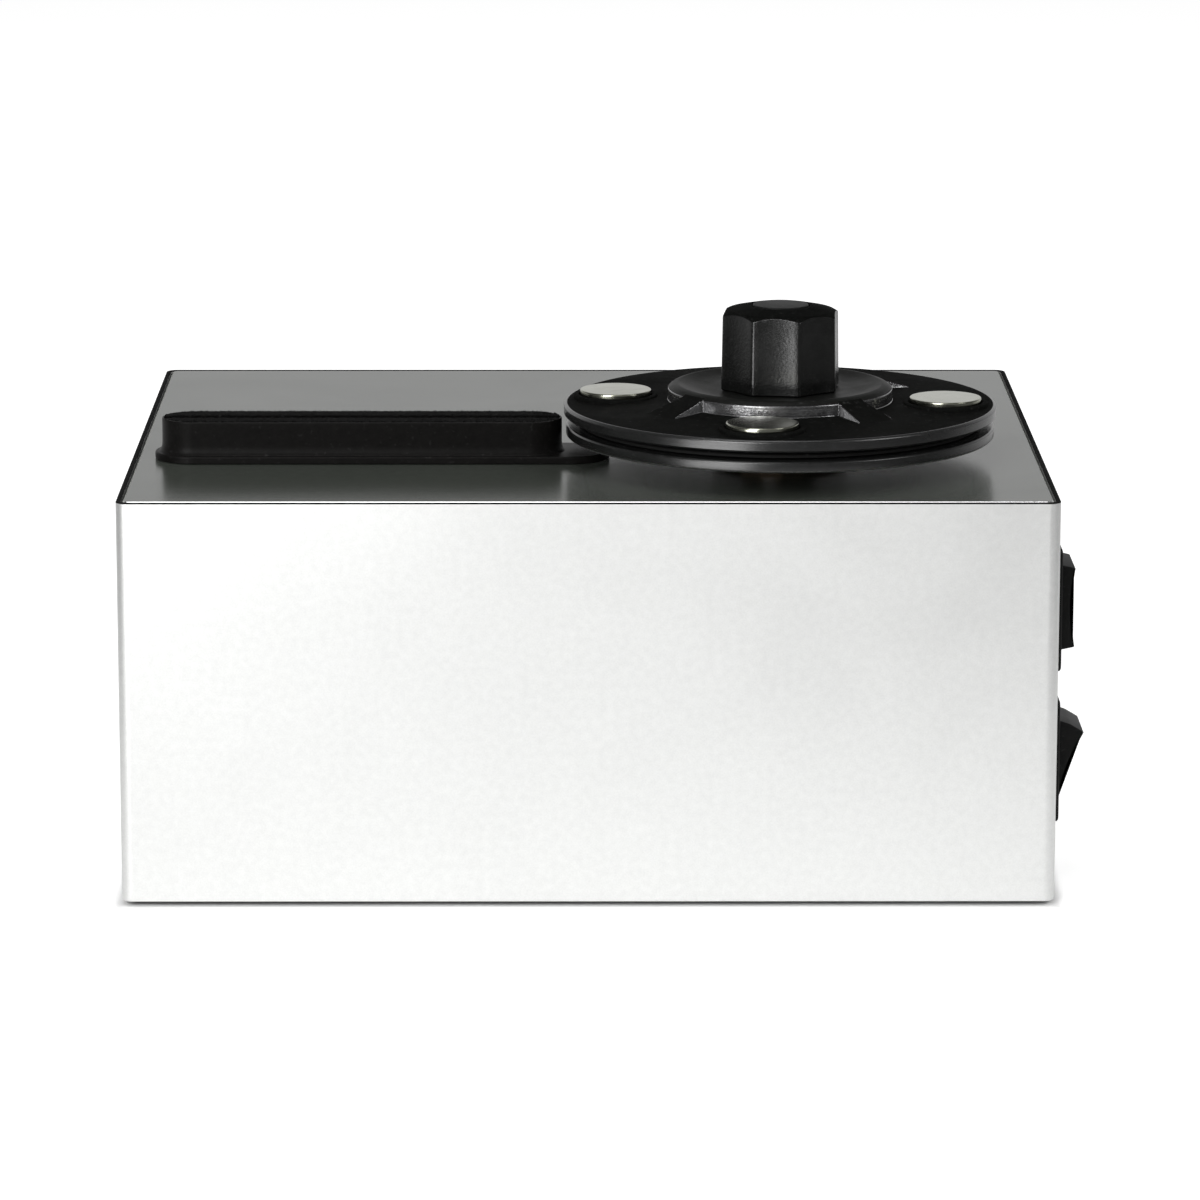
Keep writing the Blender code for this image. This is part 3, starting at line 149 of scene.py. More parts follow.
def makeTurning(detail=3.0):  # lathe lines: a noise of the distance from an upright axis and of the height
    group, given, out = newGroup("turningLines", {"Axis": (0.0, 0.0, 0.0), "Scale": 4000.0}, ["Height"])
    parts = partsOf(group, calc(group, "SUBTRACT", placeIn(group), given["Axis"], kind="VectorMath"))
    flat = addNode(group, "CombineXYZ", {0: parts[0], 1: parts[1]}).outputs[0]
    reach = calc(group, "LENGTH", flat, kind="VectorMath")
    line = addNode(group, "CombineXYZ", {0: reach, 1: parts[2]}).outputs[0]
    group.links.new(noise(group, line, given["Scale"], detail), out["Height"])
    return group


# Light specks: dust on most finishes; on the knob they also stand for painted speckles of sheen
def makeDustAndSheen(picked=(0.66, 0.78), rising=(-0.2, 1.0), below=0.35):  # specks, more on faces that look up
    group, given, out = newGroup("dustAndSheenSpecks", {"Scale": 900.0, "Upward": 1.0}, ["Mask"])
    specks = remap(group, noise(group, placeIn(group), given["Scale"], 1.0), picked)
    rise = partsOf(group, addNode(group, "NewGeometry").outputs["Normal"])[2]
    upward = remap(group, rise, rising, (below, given["Upward"]))
    group.links.new(calc(group, "MULTIPLY", specks, upward), out["Mask"])
    return group


grainGroup, smudgeGroup, turningGroup, dustAndSheenGroup = makeGrain(), makeSmudge(), makeTurning(), makeDustAndSheen()


def shade(colour, factor):
    return tuple(min(1.0, part * factor) for part in colour) + (1.0,)


def makeFinish(name, colour, roughness, metallic=0.0, grain=3000.0, depth=0.01, spread=0.12,
               smudge=(30.0, 0.9, 1.1), turning=0.0, dustAndSheen=0.0, dustAndSheenColour=(0.5, 0.5, 0.5), specular=0.5,
               **sockets):
    # The grain varies the base colour, the smudges the roughness, and grain and turning lines make the bump.
    # Smudge holds a scale and the two ends of the factor; turning is the scale of lines round the spindle
    material = bpy.data.materials.new(name)
    material.use_nodes = True
    tree = material.node_tree
    pits = useGroup(tree, grainGroup, Scale=grain)
    tone = remap(tree, pits["Shade"], (0.35, 0.65))
    surface = mixColours(tree, tone, shade(colour, 1 - spread), shade(colour, 1 + spread))
    patches = useGroup(tree, smudgeGroup, Scale=smudge[0], Low=smudge[1], High=smudge[2])
    # Light specks mixed into the colour: dust, and on the knob painted speckles of sheen
    if dustAndSheen:
        strength = calc(tree, "MULTIPLY", useGroup(tree, dustAndSheenGroup)["Mask"], dustAndSheen)
        surface = mixColours(tree, strength, surface, shade(dustAndSheenColour, 1))
    height = pits["Height"]
    if turning:
        axis = [part * mm for part in spindle]
        lines = useGroup(tree, turningGroup, Axis=axis, Scale=turning)
        height = calc(tree, "ADD", lines["Height"], height)
    bump = addNode(tree, "Bump", {"Height": height, "Strength": 1.0, "Distance": depth * mm})
    rough = calc(tree, "MULTIPLY", patches["Factor"], roughness)
    inputs = {"Base Color": surface, "Metallic": metallic, "Specular IOR Level": specular, "Roughness": rough,
              "Normal": bump.outputs["Normal"]}
    inputs.update((title.replace("_", " "), value) for title, value in sockets.items())
    feed(tree, tree.nodes["Principled BSDF"], inputs)
    return material


# Each finish: name, colour, roughness, metallic, scale of the grain, depth in mm, spread of shade, smudge
blasted = makeFinish(
    "blastedAluminium", (0.83, 0.835, 0.825), 0.50, 1.0, 2300.0, 0.026, 0.035, (22.0, 0.94, 1.06))
# Black cut edge on top of the wrap's wall, spread over the upward faces of its roundings as painted shade of
# the gap under the deck plate
rimBlackAndPaintedShade = makeFinish("wrapRimBlackAndPaintedShade", (0.0095, 0.0097, 0.0095), 0.70, 0.0, 2600.0, 0.02, 0.2, specular=0.01)
turnedBlack = makeFinish(
    "turnedBlack", (0.0062, 0.0064, 0.0063), 0.26, 0.0, 2400.0, 0.016, 0.3, (26.0, 0.85, 1.15),
    turning=2600.0, dustAndSheen=0.03, specular=0.60)
clampBlack = makeFinish(
    "clampBlack", (0.0046, 0.0048, 0.0044), 0.72, 0.0, 2000.0, 0.014, 0.3, (45.0, 0.85, 1.15), dustAndSheen=0.03,
    specular=0.01)
dishBlack = makeFinish(
    "dishBlack", (0.0062, 0.0064, 0.0058), 0.46, 0.0, 2000.0, 0.014, 0.3, (45.0, 0.8, 1.2), turning=1700.0,
    dustAndSheen=0.04, specular=0.07)
# The knob's grey specks are dust and also painted speckles of sheen on its facets
knobBlack = makeFinish(
    "knobBlack", (0.0036, 0.0038, 0.0036), 0.22, 0.0, 1500.0, 0.034, 0.5, (90.0, 0.85, 1.15), dustAndSheen=0.05,
    dustAndSheenColour=(0.35, 0.35, 0.36), specular=0.52)
crownBlack = makeFinish(
    "knobCrown", (0.0036, 0.0038, 0.0035), 0.72, 0.0, 1500.0, 0.030, 0.4, (60.0, 0.85, 1.15), dustAndSheen=0.02,
    specular=0.01)
capBlack = makeFinish(
    "knobCapBlack", (0.0060, 0.0062, 0.0060), 0.52, 0.0, 1300.0, 0.020, 0.3, (50.0, 0.85, 1.15), dustAndSheen=0.04,
    specular=0.14)
# Grey metal on the black clamp's pocket walls and rib sides: painted sheen for the bright reflection on those
# walls
pocketWallSheen = makeFinish(
    "pocketWallPaintedSheen", (0.17, 0.17, 0.172), 0.22, 0.9, 1500.0, 0.045, 0.45, (120.0, 0.8, 1.2), turning=1500.0)
# Bright metal given only to the platter's lower chamfer: a painted highlight for the reflection along that
# edge
chamferHighlightMetal = makeFinish("platterChamferPaintedHighlight", (0.70, 0.70, 0.71), 0.30, 1.0, 1900.0, 0.03, 0.25, turning=1500.0)
plated = makeFinish("platedMagnet", (0.35, 0.354, 0.293), 0.20, 1.0, 1500.0, 0.006, 0.06, (80.0, 0.8, 1.25))
moulded = makeFinish(
    "blackMoulded", (0.0066, 0.0067, 0.0066), 0.48, 0.0, 1500.0, 0.018, 0.2, dustAndSheen=0.04, specular=0.11)
headBlack = makeFinish(
    "headBlack", (0.0052, 0.0049, 0.0046), 0.42, 0.0, 2400.0, 0.014, 0.25, dustAndSheen=0.03, specular=0.07)
rubber = makeFinish(
    "blackRubber", (0.0070, 0.0070, 0.0068), 0.74, 0.0, 1200.0, 0.03, 0.2, dustAndSheen=0.05, specular=0.2)
felt = makeFinish(
    "pileBlack", (0.0034, 0.0033, 0.0032), 0.95, 0.0, 3500.0, 0.08, 0.4, dustAndSheen=0.03, specular=0.0,
    Sheen_Weight=0.02, Sheen_Roughness=0.5)
steel = makeFinish("drawnSteel", (0.56, 0.56, 0.57), 0.34, 1.0, 1600.0, 0.012, 0.1)
darkSteel = makeFinish("blackenedSteel", (0.020, 0.020, 0.021), 0.48, 0.2, 1700.0, 0.02, 0.25, dustAndSheen=0.05)
brass = makeFinish("turnedBrass", (0.72, 0.52, 0.24), 0.3, 1.0, 1600.0, 0.01, 0.08, turning=2200.0)
darkBronze = makeFinish("oiledBronze", (0.075, 0.055, 0.035), 0.5, 1.0, 1600.0, 0.01, 0.15, turning=2200.0)
nickel = makeFinish("nickelContact", (0.66, 0.64, 0.60), 0.26, 1.0, 1600.0, 0.006, 0.06)
canMetal = makeFinish("aluminiumCan", (0.74, 0.75, 0.76), 0.36, 1.0, 1400.0, 0.012, 0.08)
nylon = makeFinish("whiteNylon", (0.72, 0.70, 0.64), 0.42, 0.0, 900.0, 0.01, 0.05)
milkyPlastic = makeFinish(
    "milkyTank", (0.62, 0.64, 0.64), 0.32, 0.0, 700.0, 0.012, 0.04, Transmission_Weight=0.35, IOR=1.49)
glass = makeFinish(
    "fuseGlass", (0.92, 0.95, 0.95), 0.05, 0.0, 500.0, 0.002, 0.02, Transmission_Weight=1.0, IOR=1.5)
tubeRubber = makeFinish("greyHose", (0.20, 0.20, 0.195), 0.6, 0.0, 1100.0, 0.02)

deckEdge = dict(leanFrom=0.4, leanTo=0.95, depth=0.26, colour=(0.80, 0.80, 0.81, 1.0))


def makeDeckFinish():  # dark satin plate with a chamfer of bare metal: the mask reads how far a face leans
    material = makeFinish("deckPlate", (0.045, 0.050, 0.043), 0.21, depth=0.004, smudge=(14.0, 0.9, 1.12),
                          dustAndSheen=0.02, IOR=1.33, Specular_Tint=(0.99, 1.0, 0.95, 1.0))
    tree = material.node_tree
    shader = tree.nodes["Principled BSDF"]
    lean = partsOf(tree, addNode(tree, "NewGeometry").outputs["True Normal"])[2]
    leaning = calc(tree, "MULTIPLY", calc(tree, "GREATER_THAN", lean, deckEdge["leanFrom"]),
                   calc(tree, "LESS_THAN", lean, deckEdge["leanTo"]))
    edgeFoot = (boxOf("top_plate")[1][2] - deckEdge["depth"]) * mm
    upper = calc(tree, "GREATER_THAN", partsOf(tree, placeIn(tree))[2], edgeFoot)
    edge = calc(tree, "MULTIPLY", leaning, upper)
    colour = shader.inputs["Base Color"].links[0].from_socket
    feed(tree, shader, {"Base Color": mixColours(tree, edge, colour, deckEdge["colour"]), "Metallic": edge})
    return material


deckFinish = makeDeckFinish()
print("finishes made")


# Mesh helpers: every surface is a grid of points, ring after ring

def swing(start, end, count):
    return np.radians(np.linspace(start, end, count))


def around(angles):  # the directions at these angles
    return np.stack([np.cos(angles), np.sin(angles)], -1)


def lifted(flat, height):  # a flat outline at one height, or each of its points at its own
    return np.column_stack([flat, np.broadcast_to(height, len(flat))])


def lengthsOf(vectors):
    return np.linalg.norm(vectors, axis=1, keepdims=True)


def softened(profile, radius=0.25, steps=4, loop=False):
    # Each corner becomes a short curve, (1-t)^2 start + 2t(1-t) corner + t^2 end, at the given distance
    points = np.asarray(profile, float)
    reach = np.broadcast_to(np.asarray(radius, float).reshape(-1, 1), (len(points), 1))
    curves = []
    for near in (np.roll(points, 1, 0), np.roll(points, -1, 0)):
        span = np.maximum(lengthsOf(near - points), 1e-9)
        curves.append(points + (near - points) * np.minimum(reach, span * 0.48) / span)
    t = np.linspace(0, 1, steps + 1)[None, :, None]
    start, middle, end = (line[:, None] for line in (curves[0], points, curves[1]))
    rounded = (1 - t) ** 2 * start + 2 * t * (1 - t) * middle + t ** 2 * end
    if loop:
        return rounded.reshape(-1, 2)
    return np.concatenate([points[:1], rounded[1:-1].reshape(-1, 2), points[-1:]])


def turnedRings(profile, sides):
    # A profile of radius and height carried round the upright axis
    profile = np.asarray(profile, float)
    flat = profile[:, None, :1] * around(np.linspace(0, 2 * pi, sides, endpoint=False))
    return np.concatenate([flat, np.broadcast_to(profile[:, None, 1:], flat.shape[:2] + (1,))], 2)


def rectRing(width, depth, rounding, height, steps):
    # A rectangle with round corners: each corner's centre plus its radius in a direction that swings
    turns = np.concatenate([swing(90 * side, 90 * side + 90, steps) for side in range(4)])
    signs = np.repeat([(1, 1), (-1, 1), (-1, -1), (1, -1)], steps, axis=0)
    return lifted(signs * (width / 2 - rounding, depth / 2 - rounding) + rounding * around(turns), height)


def rectRings(rows, steps):
    return np.stack([rectRing(*row, steps) for row in rows])


def stadiumRing(start, end, half, height, steps=48):
    # A long outline with two half circles, along X from start to end
    flat = half * around(np.concatenate([swing(-90, 90, steps), swing(90, 270, steps)]))
    flat[:, 0] += np.repeat([end - half, start + half], steps)
    return lifted(flat, height)


facing = {"up": np.eye(3), "right": np.array([[0, 0, 1], [0, 1, 0], [-1, 0, 0]]),
          "back": np.array([[1, 0, 0], [0, 0, 1], [0, -1, 0]])}


def placed(rings, centre, side="up", turn=0.0):
    spin = np.array([[cos(turn), -sin(turn), 0], [sin(turn), cos(turn), 0], [0, 0, 1]])
    return np.asarray(rings) @ spin.T @ facing[side].T + np.asarray(centre, float)


def newObject(name, data):
    made = bpy.data.objects.new(name, data)
    bpy.context.scene.collection.objects.link(made)
    return made


def smoothed(mesh):
    mesh.shade_smooth()
    mesh.set_sharp_from_angle(angle=radians(32))
    return mesh


def tidied(mesh):
    bm = bmesh.new()
    bm.from_mesh(mesh)
    bmesh.ops.remove_doubles(bm, verts=bm.verts, dist=1e-6)
    bmesh.ops.recalc_face_normals(bm, faces=bm.faces)
    bm.to_mesh(mesh)
    bm.free()
    return smoothed(mesh)


def shell(rings, loop=False):
    # Four-sided faces between each ring and the next; both ends are capped unless the rings form a loop
    rings = np.asarray(rings, float)
    rowCount, ringCount = rings.shape[:2]
    index = np.arange(rowCount * ringCount).reshape(rowCount, ringCount)
    rows = np.arange(rowCount if loop else rowCount - 1)
    low, high = index[rows], index[(rows + 1) % rowCount]
    faces = np.stack([low, np.roll(low, -1, 1), np.roll(high, -1, 1), high], 2).reshape(-1, 4).tolist()
    if not loop:
        faces += [index[0, ::-1].tolist(), index[-1].tolist()]
    mesh = bpy.data.meshes.new("surface")
    mesh.from_pydata((rings.reshape(-1, 3) * mm).tolist(), [], faces)
    return tidied(mesh)


def turnedMesh(profile, sides, centre=(0, 0, 0), side="up", turn=0.0, loop=False):
    return shell(placed(turnedRings(profile, sides), centre, side, turn), loop)


def rodMesh(radius, low, high, centre=(0, 0, 0), side="up", sides=48):
    return turnedMesh([(radius, low), (radius, high)], sides, centre, side)


def blockMesh(centre, half, rounding, side="up"):
    # A cutter with round corners, given by its middle and half sizes, along the side it faces
    width, depth, height = np.abs(np.asarray(half, float) @ facing[side])
    rings = rectRings([(2 * width, 2 * depth, rounding, level) for level in (-height, height)], 6)
    return shell(placed(rings, centre, side))


def circleSpots(radius, count, turn=0.0, centre=(0, 0, 0)):
    return lifted(radius * around(np.radians(360 / count * np.arange(count) + turn)), 0) + centre


def carved(mesh, cuts=(), joins=()):
    # Joins and cuts by other closed surfaces, worked out once and stored
    target = newObject("target", mesh)
    others = []
    for operation, meshes in (("UNION", joins), ("DIFFERENCE", cuts)):
        for other in meshes:
            others.append(newObject("helper", other))
            step = target.modifiers.new("step", "BOOLEAN")
            step.operation, step.object = operation, others[-1]
    graph = bpy.context.evaluated_depsgraph_get()
    made = bpy.data.meshes.new_from_object(target.evaluated_get(graph))
    for unused in others + [target]:
        bpy.data.objects.remove(unused, do_unlink=True)
    return tidied(made)


def merged(meshes):
    bm = bmesh.new()
    for mesh in meshes:
        bm.from_mesh(mesh)
    mesh = bpy.data.meshes.new("surface")
    bm.to_mesh(mesh)
    bm.free()
    return smoothed(mesh)


def paintOf(mesh):
    painted = np.zeros(len(mesh.polygons), np.int32)
    mesh.polygons.foreach_get("material_index", painted)
    return painted


def paintFaces(mesh, picked, index):
    painted = paintOf(mesh)
    painted[picked] = index
    mesh.polygons.foreach_set("material_index", painted)


def faceData(mesh):
    count = len(mesh.polygons)
    normals, centres = np.zeros(count * 3), np.zeros(count * 3)
    mesh.polygons.foreach_get("normal", normals)
    mesh.polygons.foreach_get("center", centres)
    return normals.reshape(-1, 3), centres.reshape(-1, 3) / mm


def addPiece(name, mesh, finishes, body, slot, *replaced):
    made = newObject(name, mesh)
    mesh.name = name
    painted = paintOf(mesh)
    mesh.materials.clear()
    for finish in finishes if isinstance(finishes, list) else [finishes]:
        mesh.materials.append(finish)
    mesh.polygons.foreach_set("material_index", painted)  # clearing the slots had set them all to the first
    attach(made, body)
    if replaced:
        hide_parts(*replaced)


# Housing wrap: a closed band, its section carried round a rectangle with round corners, then the openings

wrapShape = dict(
    wall=1.2, corner=3.0, edge=0.28, rimDepth=0.3, cutReach=3.0, holeCorner=0.4, switchHole=(11.3, 14.3),
    inletHole=(13.8, 18.3), nozzleHole=4.3, ventCount=7, ventPitch=6.5, ventFromLeft=60.0, ventMiddle=49.0,
    vent=(1.5, 17.0), ventPlay=0.01)


def makeWrap():
    w = wrapShape
    wall, reach, soft = w["wall"], w["cutReach"], w["holeCorner"]
    section = softened([(0, edgeBottom), (0, deck), (-wall, deck), (-wall, edgeBottom)], w["edge"], 4, True)
    rows = [(right - left + 2 * out, back - front + 2 * out, w["corner"] + out, z) for out, z in section]
    cuts = []
    for level in ("lower", "upper"):
        _, y, z = middleOf("switch_frame_" + level)
        cuts.append(blockMesh((right, y, z), (reach, *w["switchHole"]), soft, "right"))
    x, _, z = middleOf("power_inlet")
    cuts.append(blockMesh((x, back, z), (w["inletHole"][0], reach, w["inletHole"][1]), soft, "back"))
    x, _, z = middleOf("drain_nozzle")
    cuts.append(rodMesh(w["nozzleHole"], -reach, reach, (x, back, z), "back"))
    half, tall = w["vent"]
    for index in range(w["ventCount"]):
        x, z = left + w["ventFromLeft"] + w["ventPitch"] * index, edgeBottom + w["ventMiddle"]
        cuts.append(blockMesh((x, back, z), (half, reach, tall), half - w["ventPlay"], "back"))
    mesh = carved(shell(placed(rectRings(rows, 14), (housingX, housingY, 0)), True), cuts)
    normals, centres = faceData(mesh)
    # Upward faces along the top: the black cut edge, and on the roundings painted shade of the gap between
    # wrap and deck plate
    paintFaces(mesh, (normals[:, 2] > 0.1) & (centres[:, 2] > deck - w["rimDepth"]), 1)
    addPiece("wrap_band", mesh, [blasted, rimBlackAndPaintedShade], "cabinet", "blasted_aluminium", "housing_wrap")


footShape = dict(radius=8.0, chamfer=0.6, ring=2.5, ringRoot=3.0, hollow=0.3, edge=0.35)


def makeFeet():
    f = footShape
    radius, bevel, hollow = f["radius"], f["chamfer"], f["hollow"]
    for corner in corners:
        low, high = boxOf("foot_" + corner)
        x, y, _ = (low + high) / 2
        height = high[2] - low[2]
        section = softened([(0, height), (radius - bevel, height), (radius, height - bevel), (radius, 0),
                            (radius - f["ring"], 0), (radius - f["ringRoot"], hollow), (0, hollow)],
                           f["edge"], 3)
        addPiece("foot_pad_" + corner, turnedMesh(section, 64, (x, y, low[2])), rubber, "cabinet",
                 "black_rubber", "foot_" + corner)


makeWrap()
makeFeet()
print("housing made")


# Screws, all driven from below: a domed head with a cross recess

screwShape = dict(radius=2.7, fall=0.35, rim=0.35, foot=0.8, recess=1.15, recessDepth=0.9, over=0.3)
baseScrew = dict(level=2.15, height=1.35, turns=(0.2, 1.1, 0.7, 0.45))


def screwMesh(height):
    # The head's crown falls with the square of the radius; two crossed tapered bars cut its recess
    s = screwShape
    radius, recess = s["radius"], s["radius"] * s["recess"]
    reach = np.linspace(0, radius, 12)
    crown = zip(reach, height * (1 - s["fall"] * (reach / radius) ** 2))
    head = turnedMesh([*crown, (radius, height * s["rim"]), (radius * s["foot"], 0), (0, 0)], 40)
    rings = rectRings([(recess * 0.5, recess * 0.16, 0.01, height - s["recessDepth"]),
                       (recess, recess * 0.3, 0.02, height + s["over"])], 3)
    return carved(head, [shell(placed(rings, (0, 0, 0), "up", turn)) for turn in (0.0, pi / 2)])


def addScrew(name, place, body, height, turn):
    mesh = screwMesh(height)
    spot = Matrix.Translation([part * mm for part in place])
    mesh.transform(spot @ Matrix.Rotation(pi, 4, "X") @ Matrix.Rotation(turn, 4, "Z"))
    addPiece(name, mesh, darkSteel, body, "black_steel")


for corner, turn in zip(corners, baseScrew["turns"]):
    x, y, _ = middleOf("corner_post_" + corner)
    addScrew("base_screw_" + corner, (x, y, baseScrew["level"]), "cabinet", baseScrew["height"], turn)


# Platter and its mat; the platter's underside has a boss and a pocket for the keeper ring

platterShape = dict(
    radius=54.0, thick=2.8, matGap=0.3, chamfer=0.4, edge=0.1, bore=4.3, boss=9.6, keeper=(34.7, 49.3),
    keeperDepth=1.5, brightFrom=0.55)
matShape = dict(outer=50.6, inner=30.0, groove=0.18, pitch=1.25, border=0.4, step=0.3, foot=0.1)


def makePlatter():
    p = platterShape
    high = boxOf("platter_mat")[0][2] - p["matGap"]
    low, bossLow = high - p["thick"], boxOf("platter")[0][2]
    radius, bevel, bore, boss, (inner, outer) = p["radius"], p["chamfer"], p["bore"], p["boss"], p["keeper"]
    pocket = low + p["keeperDepth"]
    section = softened([(bore, high), (radius - bevel, high), (radius, high - bevel), (radius, low + bevel),
                        (radius - bevel, low), (outer, low), (outer, pocket), (inner, pocket), (inner, low),
                        (boss, low), (boss, bossLow), (bore, bossLow)], p["edge"], 2, True)
    mesh = turnedMesh(section, 256, spindle, loop=True)
    # The lower chamfer near the rim gets the bright metal of the painted highlight; the upper chamfer stays
    # black
    normals, centres = faceData(mesh)
    under = np.hypot(*(centres - spindle)[:, :2].T) > radius - p["brightFrom"]
    paintFaces(mesh, under & (normals[:, 2] < -0.35) & (normals[:, 2] > -0.95), 1)
    addPiece("platter_disc", mesh, [turnedBlack, chamferHighlightMetal], "turntable", "black_satin", "platter")


def makeMat():
    # Its top is a wave of the radius, a groove to each pitch
    m = matShape
    low, high = boxOf("platter_mat")[0][2], boxOf("platter_mat")[1][2]
    outer, inner, bevel, shoulder = m["outer"], m["inner"], m["foot"], high - m["step"]
    reach = np.linspace(outer - m["border"], inner + m["border"], 170)
    top = high - m["groove"] * (0.5 - 0.5 * np.cos(2 * pi * reach / m["pitch"]))
    section = [(outer, low + bevel), (outer, shoulder), *zip(reach, top), (inner, shoulder),
               (inner, low + bevel), (inner + bevel, low), (outer - bevel, low)]
    addPiece("platter_mat_ribbed", turnedMesh(section, 192, spindle, loop=True), rubber, "turntable",
             "black_rubber", "platter_mat")


makePlatter()
makeMat()


# Record clamp: the section changes with the angle, from a rib's slope to a pocket's wall

clampShape = dict(
    radius=54.5, edge=3.0, rise=0.8, rimRound=0.8, hub=28.6, hubTop=6.7, ridge=8.0, ridgeFall=0.4, middle=7.0,
    wave=6.62, floor=6.5, lip=25.8, dish=19.0, wallCut=0.3, ribFoot=38.5, pocketHalf=37.0, soft=0.55,
    turn=-8.0, groove=(43.3, 50.9), grooveDepth=0.9, foot=0.45, bore=3.9, magnetCircle=41.8, magnet=9.0,
    magnetTop=5.28, magnetThick=3.4, magnetPlay=0.3, socketWall=1.3, socketHeight=0.8, screwCircle=9.5,
    screwHole=3.1, screwDepth=1.9, screwSeat=1.6, screwHeight=1.2)


def clampSurface(reach):  # height of the coned upper face at a radius
    c = clampShape
    cone = c["radius"] - c["rimRound"]
    return c["edge"] + c["rise"] * (cone - reach) / (cone - c["hub"])


def clampSections():
    # Half sections through a pocket and a rib, with as many points each; they differ between hub and foot
    c = clampShape
    hub, dish, lip, radius, ribFoot = c["hub"], c["dish"], c["lip"], c["radius"], c["ribFoot"]
    ridge, hubTop, soft, foot, roof = c["ridge"], c["hubTop"], c["rimRound"], c["foot"], c["grooveDepth"]
    inner = [(0, c["middle"]), (dish * 0.6, c["wave"]), (dish, c["floor"]), ((dish + lip) / 2, c["middle"]),
             (lip, ridge), (hub - 1.4, ridge - c["ridgeFall"])]
    innerReach = [0.0, 0.5, 1.2, 1.2, 0.5, 0.5]
    footing = [(reach, clampSurface(reach)) for reach in (ribFoot, ribFoot + 1.5)]
    wall = hub - c["wallCut"]
    pocket = softened(inner + [(wall, hubTop), (wall, clampSurface(wall))] + footing,
                      innerReach + [0.25, 0.35, 0.2, 0.0], 5)
    rib = softened(inner + [(hub, hubTop), (hub + 0.6, hubTop - 0.2)] + footing,
                   innerReach + [0.4, 0.3, 0.8, 0.0], 5)
    cone = np.linspace(ribFoot + 4, radius - soft - 1, 8)
    rim = (radius - soft, c["edge"] - soft) + soft * around(swing(90, 0, 9))
    grooveIn, grooveOut = c["groove"]
    under = [(radius, foot), (radius - 0.05, foot - 0.05), (radius - foot + 0.05, 0.04), (radius - foot, 0),
             (grooveOut, 0), (grooveOut, roof), (grooveIn, roof), (grooveIn, 0), (0, 0)]
    outer = [*zip(cone, clampSurface(cone)), *rim, *under]
    return np.concatenate([pocket, outer]), np.concatenate([rib, outer])


def clampBlank():
    # The two sections blended from angle to angle, and a finish for each kind of face
    c = clampShape
    half, soft = c["pocketHalf"], c["soft"]
    near = np.array([-0.9, -0.55, -0.42, -0.3, -0.18, 0.0, 0.18, 0.3, 0.42, 0.55, 0.9])
    quarter = np.concatenate([np.linspace(-half + 1.2, half - 1.2, 72), half + near,
                              np.linspace(half + 1.2, 90 - half - 1.2, 15), 90 - half + near])
    turns = np.concatenate([quarter + 90 * step for step in range(4)])
    away = np.abs((turns + 45) % 90 - 45)  # angle from the middle of the nearest pocket
    weight = np.clip((away - half + soft) / (2 * soft), 0, 1)  # 0 in a pocket, 1 on a rib
    weight = (weight ** 2 * (3 - 2 * weight))[None, :, None]
    pocket, rib = clampSections()
    section = pocket[:, None] * (1 - weight) + rib[:, None] * weight
    flat = section[..., :1] * around(np.radians(turns + c["turn"]))
    mesh = shell(np.concatenate([flat, section[..., 1:]], 2))
    normals, centres = faceData(mesh)
    reach, up, height = np.hypot(centres[:, 0], centres[:, 1]), normals[:, 2], centres[:, 2]
    # Pocket walls and rib sides take the painted sheen
    wall = (reach > c["hub"] - 0.6) & (reach < c["ribFoot"] + 0.2) & (up < 0.72) & (height > 3.2)
    paintFaces(mesh, wall, 1)
    paintFaces(mesh, reach > c["radius"] - c["rimRound"] - 0.1, 2)
    paintFaces(mesh, (reach < c["hub"] - 0.7) & (up > 0.1), 3)
    return mesh


def makeClamp():
    c = clampShape
    radius, circle, screws, high = c["magnet"], c["magnetCircle"], c["screwCircle"], c["magnetTop"]
    top, low = clampSurface(circle) + c["socketHeight"], high - c["magnetThick"]
    hole = radius + c["magnetPlay"]
    rim = hole + c["socketWall"]
    boss = softened([(0, top), (rim, top), (rim + 0.25, low)], [0, 0.5, 0], 5)
    socket = [(hole, low - 0.3), (hole, top - 0.15), (hole + 0.25, top + 0.1), (hole + 0.25, top + 3)]
    sockets = circleSpots(circle, 4, c["turn"])
    cuts = [turnedMesh(socket, 96, spot) for spot in sockets]
    cuts += [rodMesh(c["screwHole"], -1, c["screwDepth"], spot) for spot in circleSpots(screws, 3)]
    cuts.append(rodMesh(c["bore"], -1, 9))
    mesh = carved(clampBlank(), cuts, [turnedMesh(boss, 96, spot) for spot in sockets])
    middle = (spindleX, spindleY, clampUnder)
    mesh.transform(Matrix.Translation([part * mm for part in middle]))
    addPiece("clamp_cone", mesh, [clampBlack, pocketWallSheen, turnedBlack, dishBlack], "record_clamp",
             "black_moulded", "clamp_disc")

    disc = softened([(0, high), (radius - 0.1, high), (radius, high - 0.3), (radius, low), (0, low)],
                    [0, 0.45, 0.35, 0.2, 0], 5)
    for index, spot in enumerate(circleSpots(circle, 4, c["turn"], middle), 1):
        addPiece("magnet_disc_%d" % index, turnedMesh(disc, 96, spot), plated, "record_clamp", "nickel",
                 "magnet_%d" % index)
    seat = (spindleX, spindleY, clampUnder + c["screwSeat"])
    for step, spot in enumerate(circleSpots(screws, 3, 0.0, seat)):
        addScrew("clamp_screw_%d" % (step + 1), spot, "record_clamp", c["screwHeight"], radians(120 * step))


sealShape = dict(outer=50.6, inner=43.6, lip=0.8, lipHeight=0.35, valley=1.6, valleyRise=0.3)


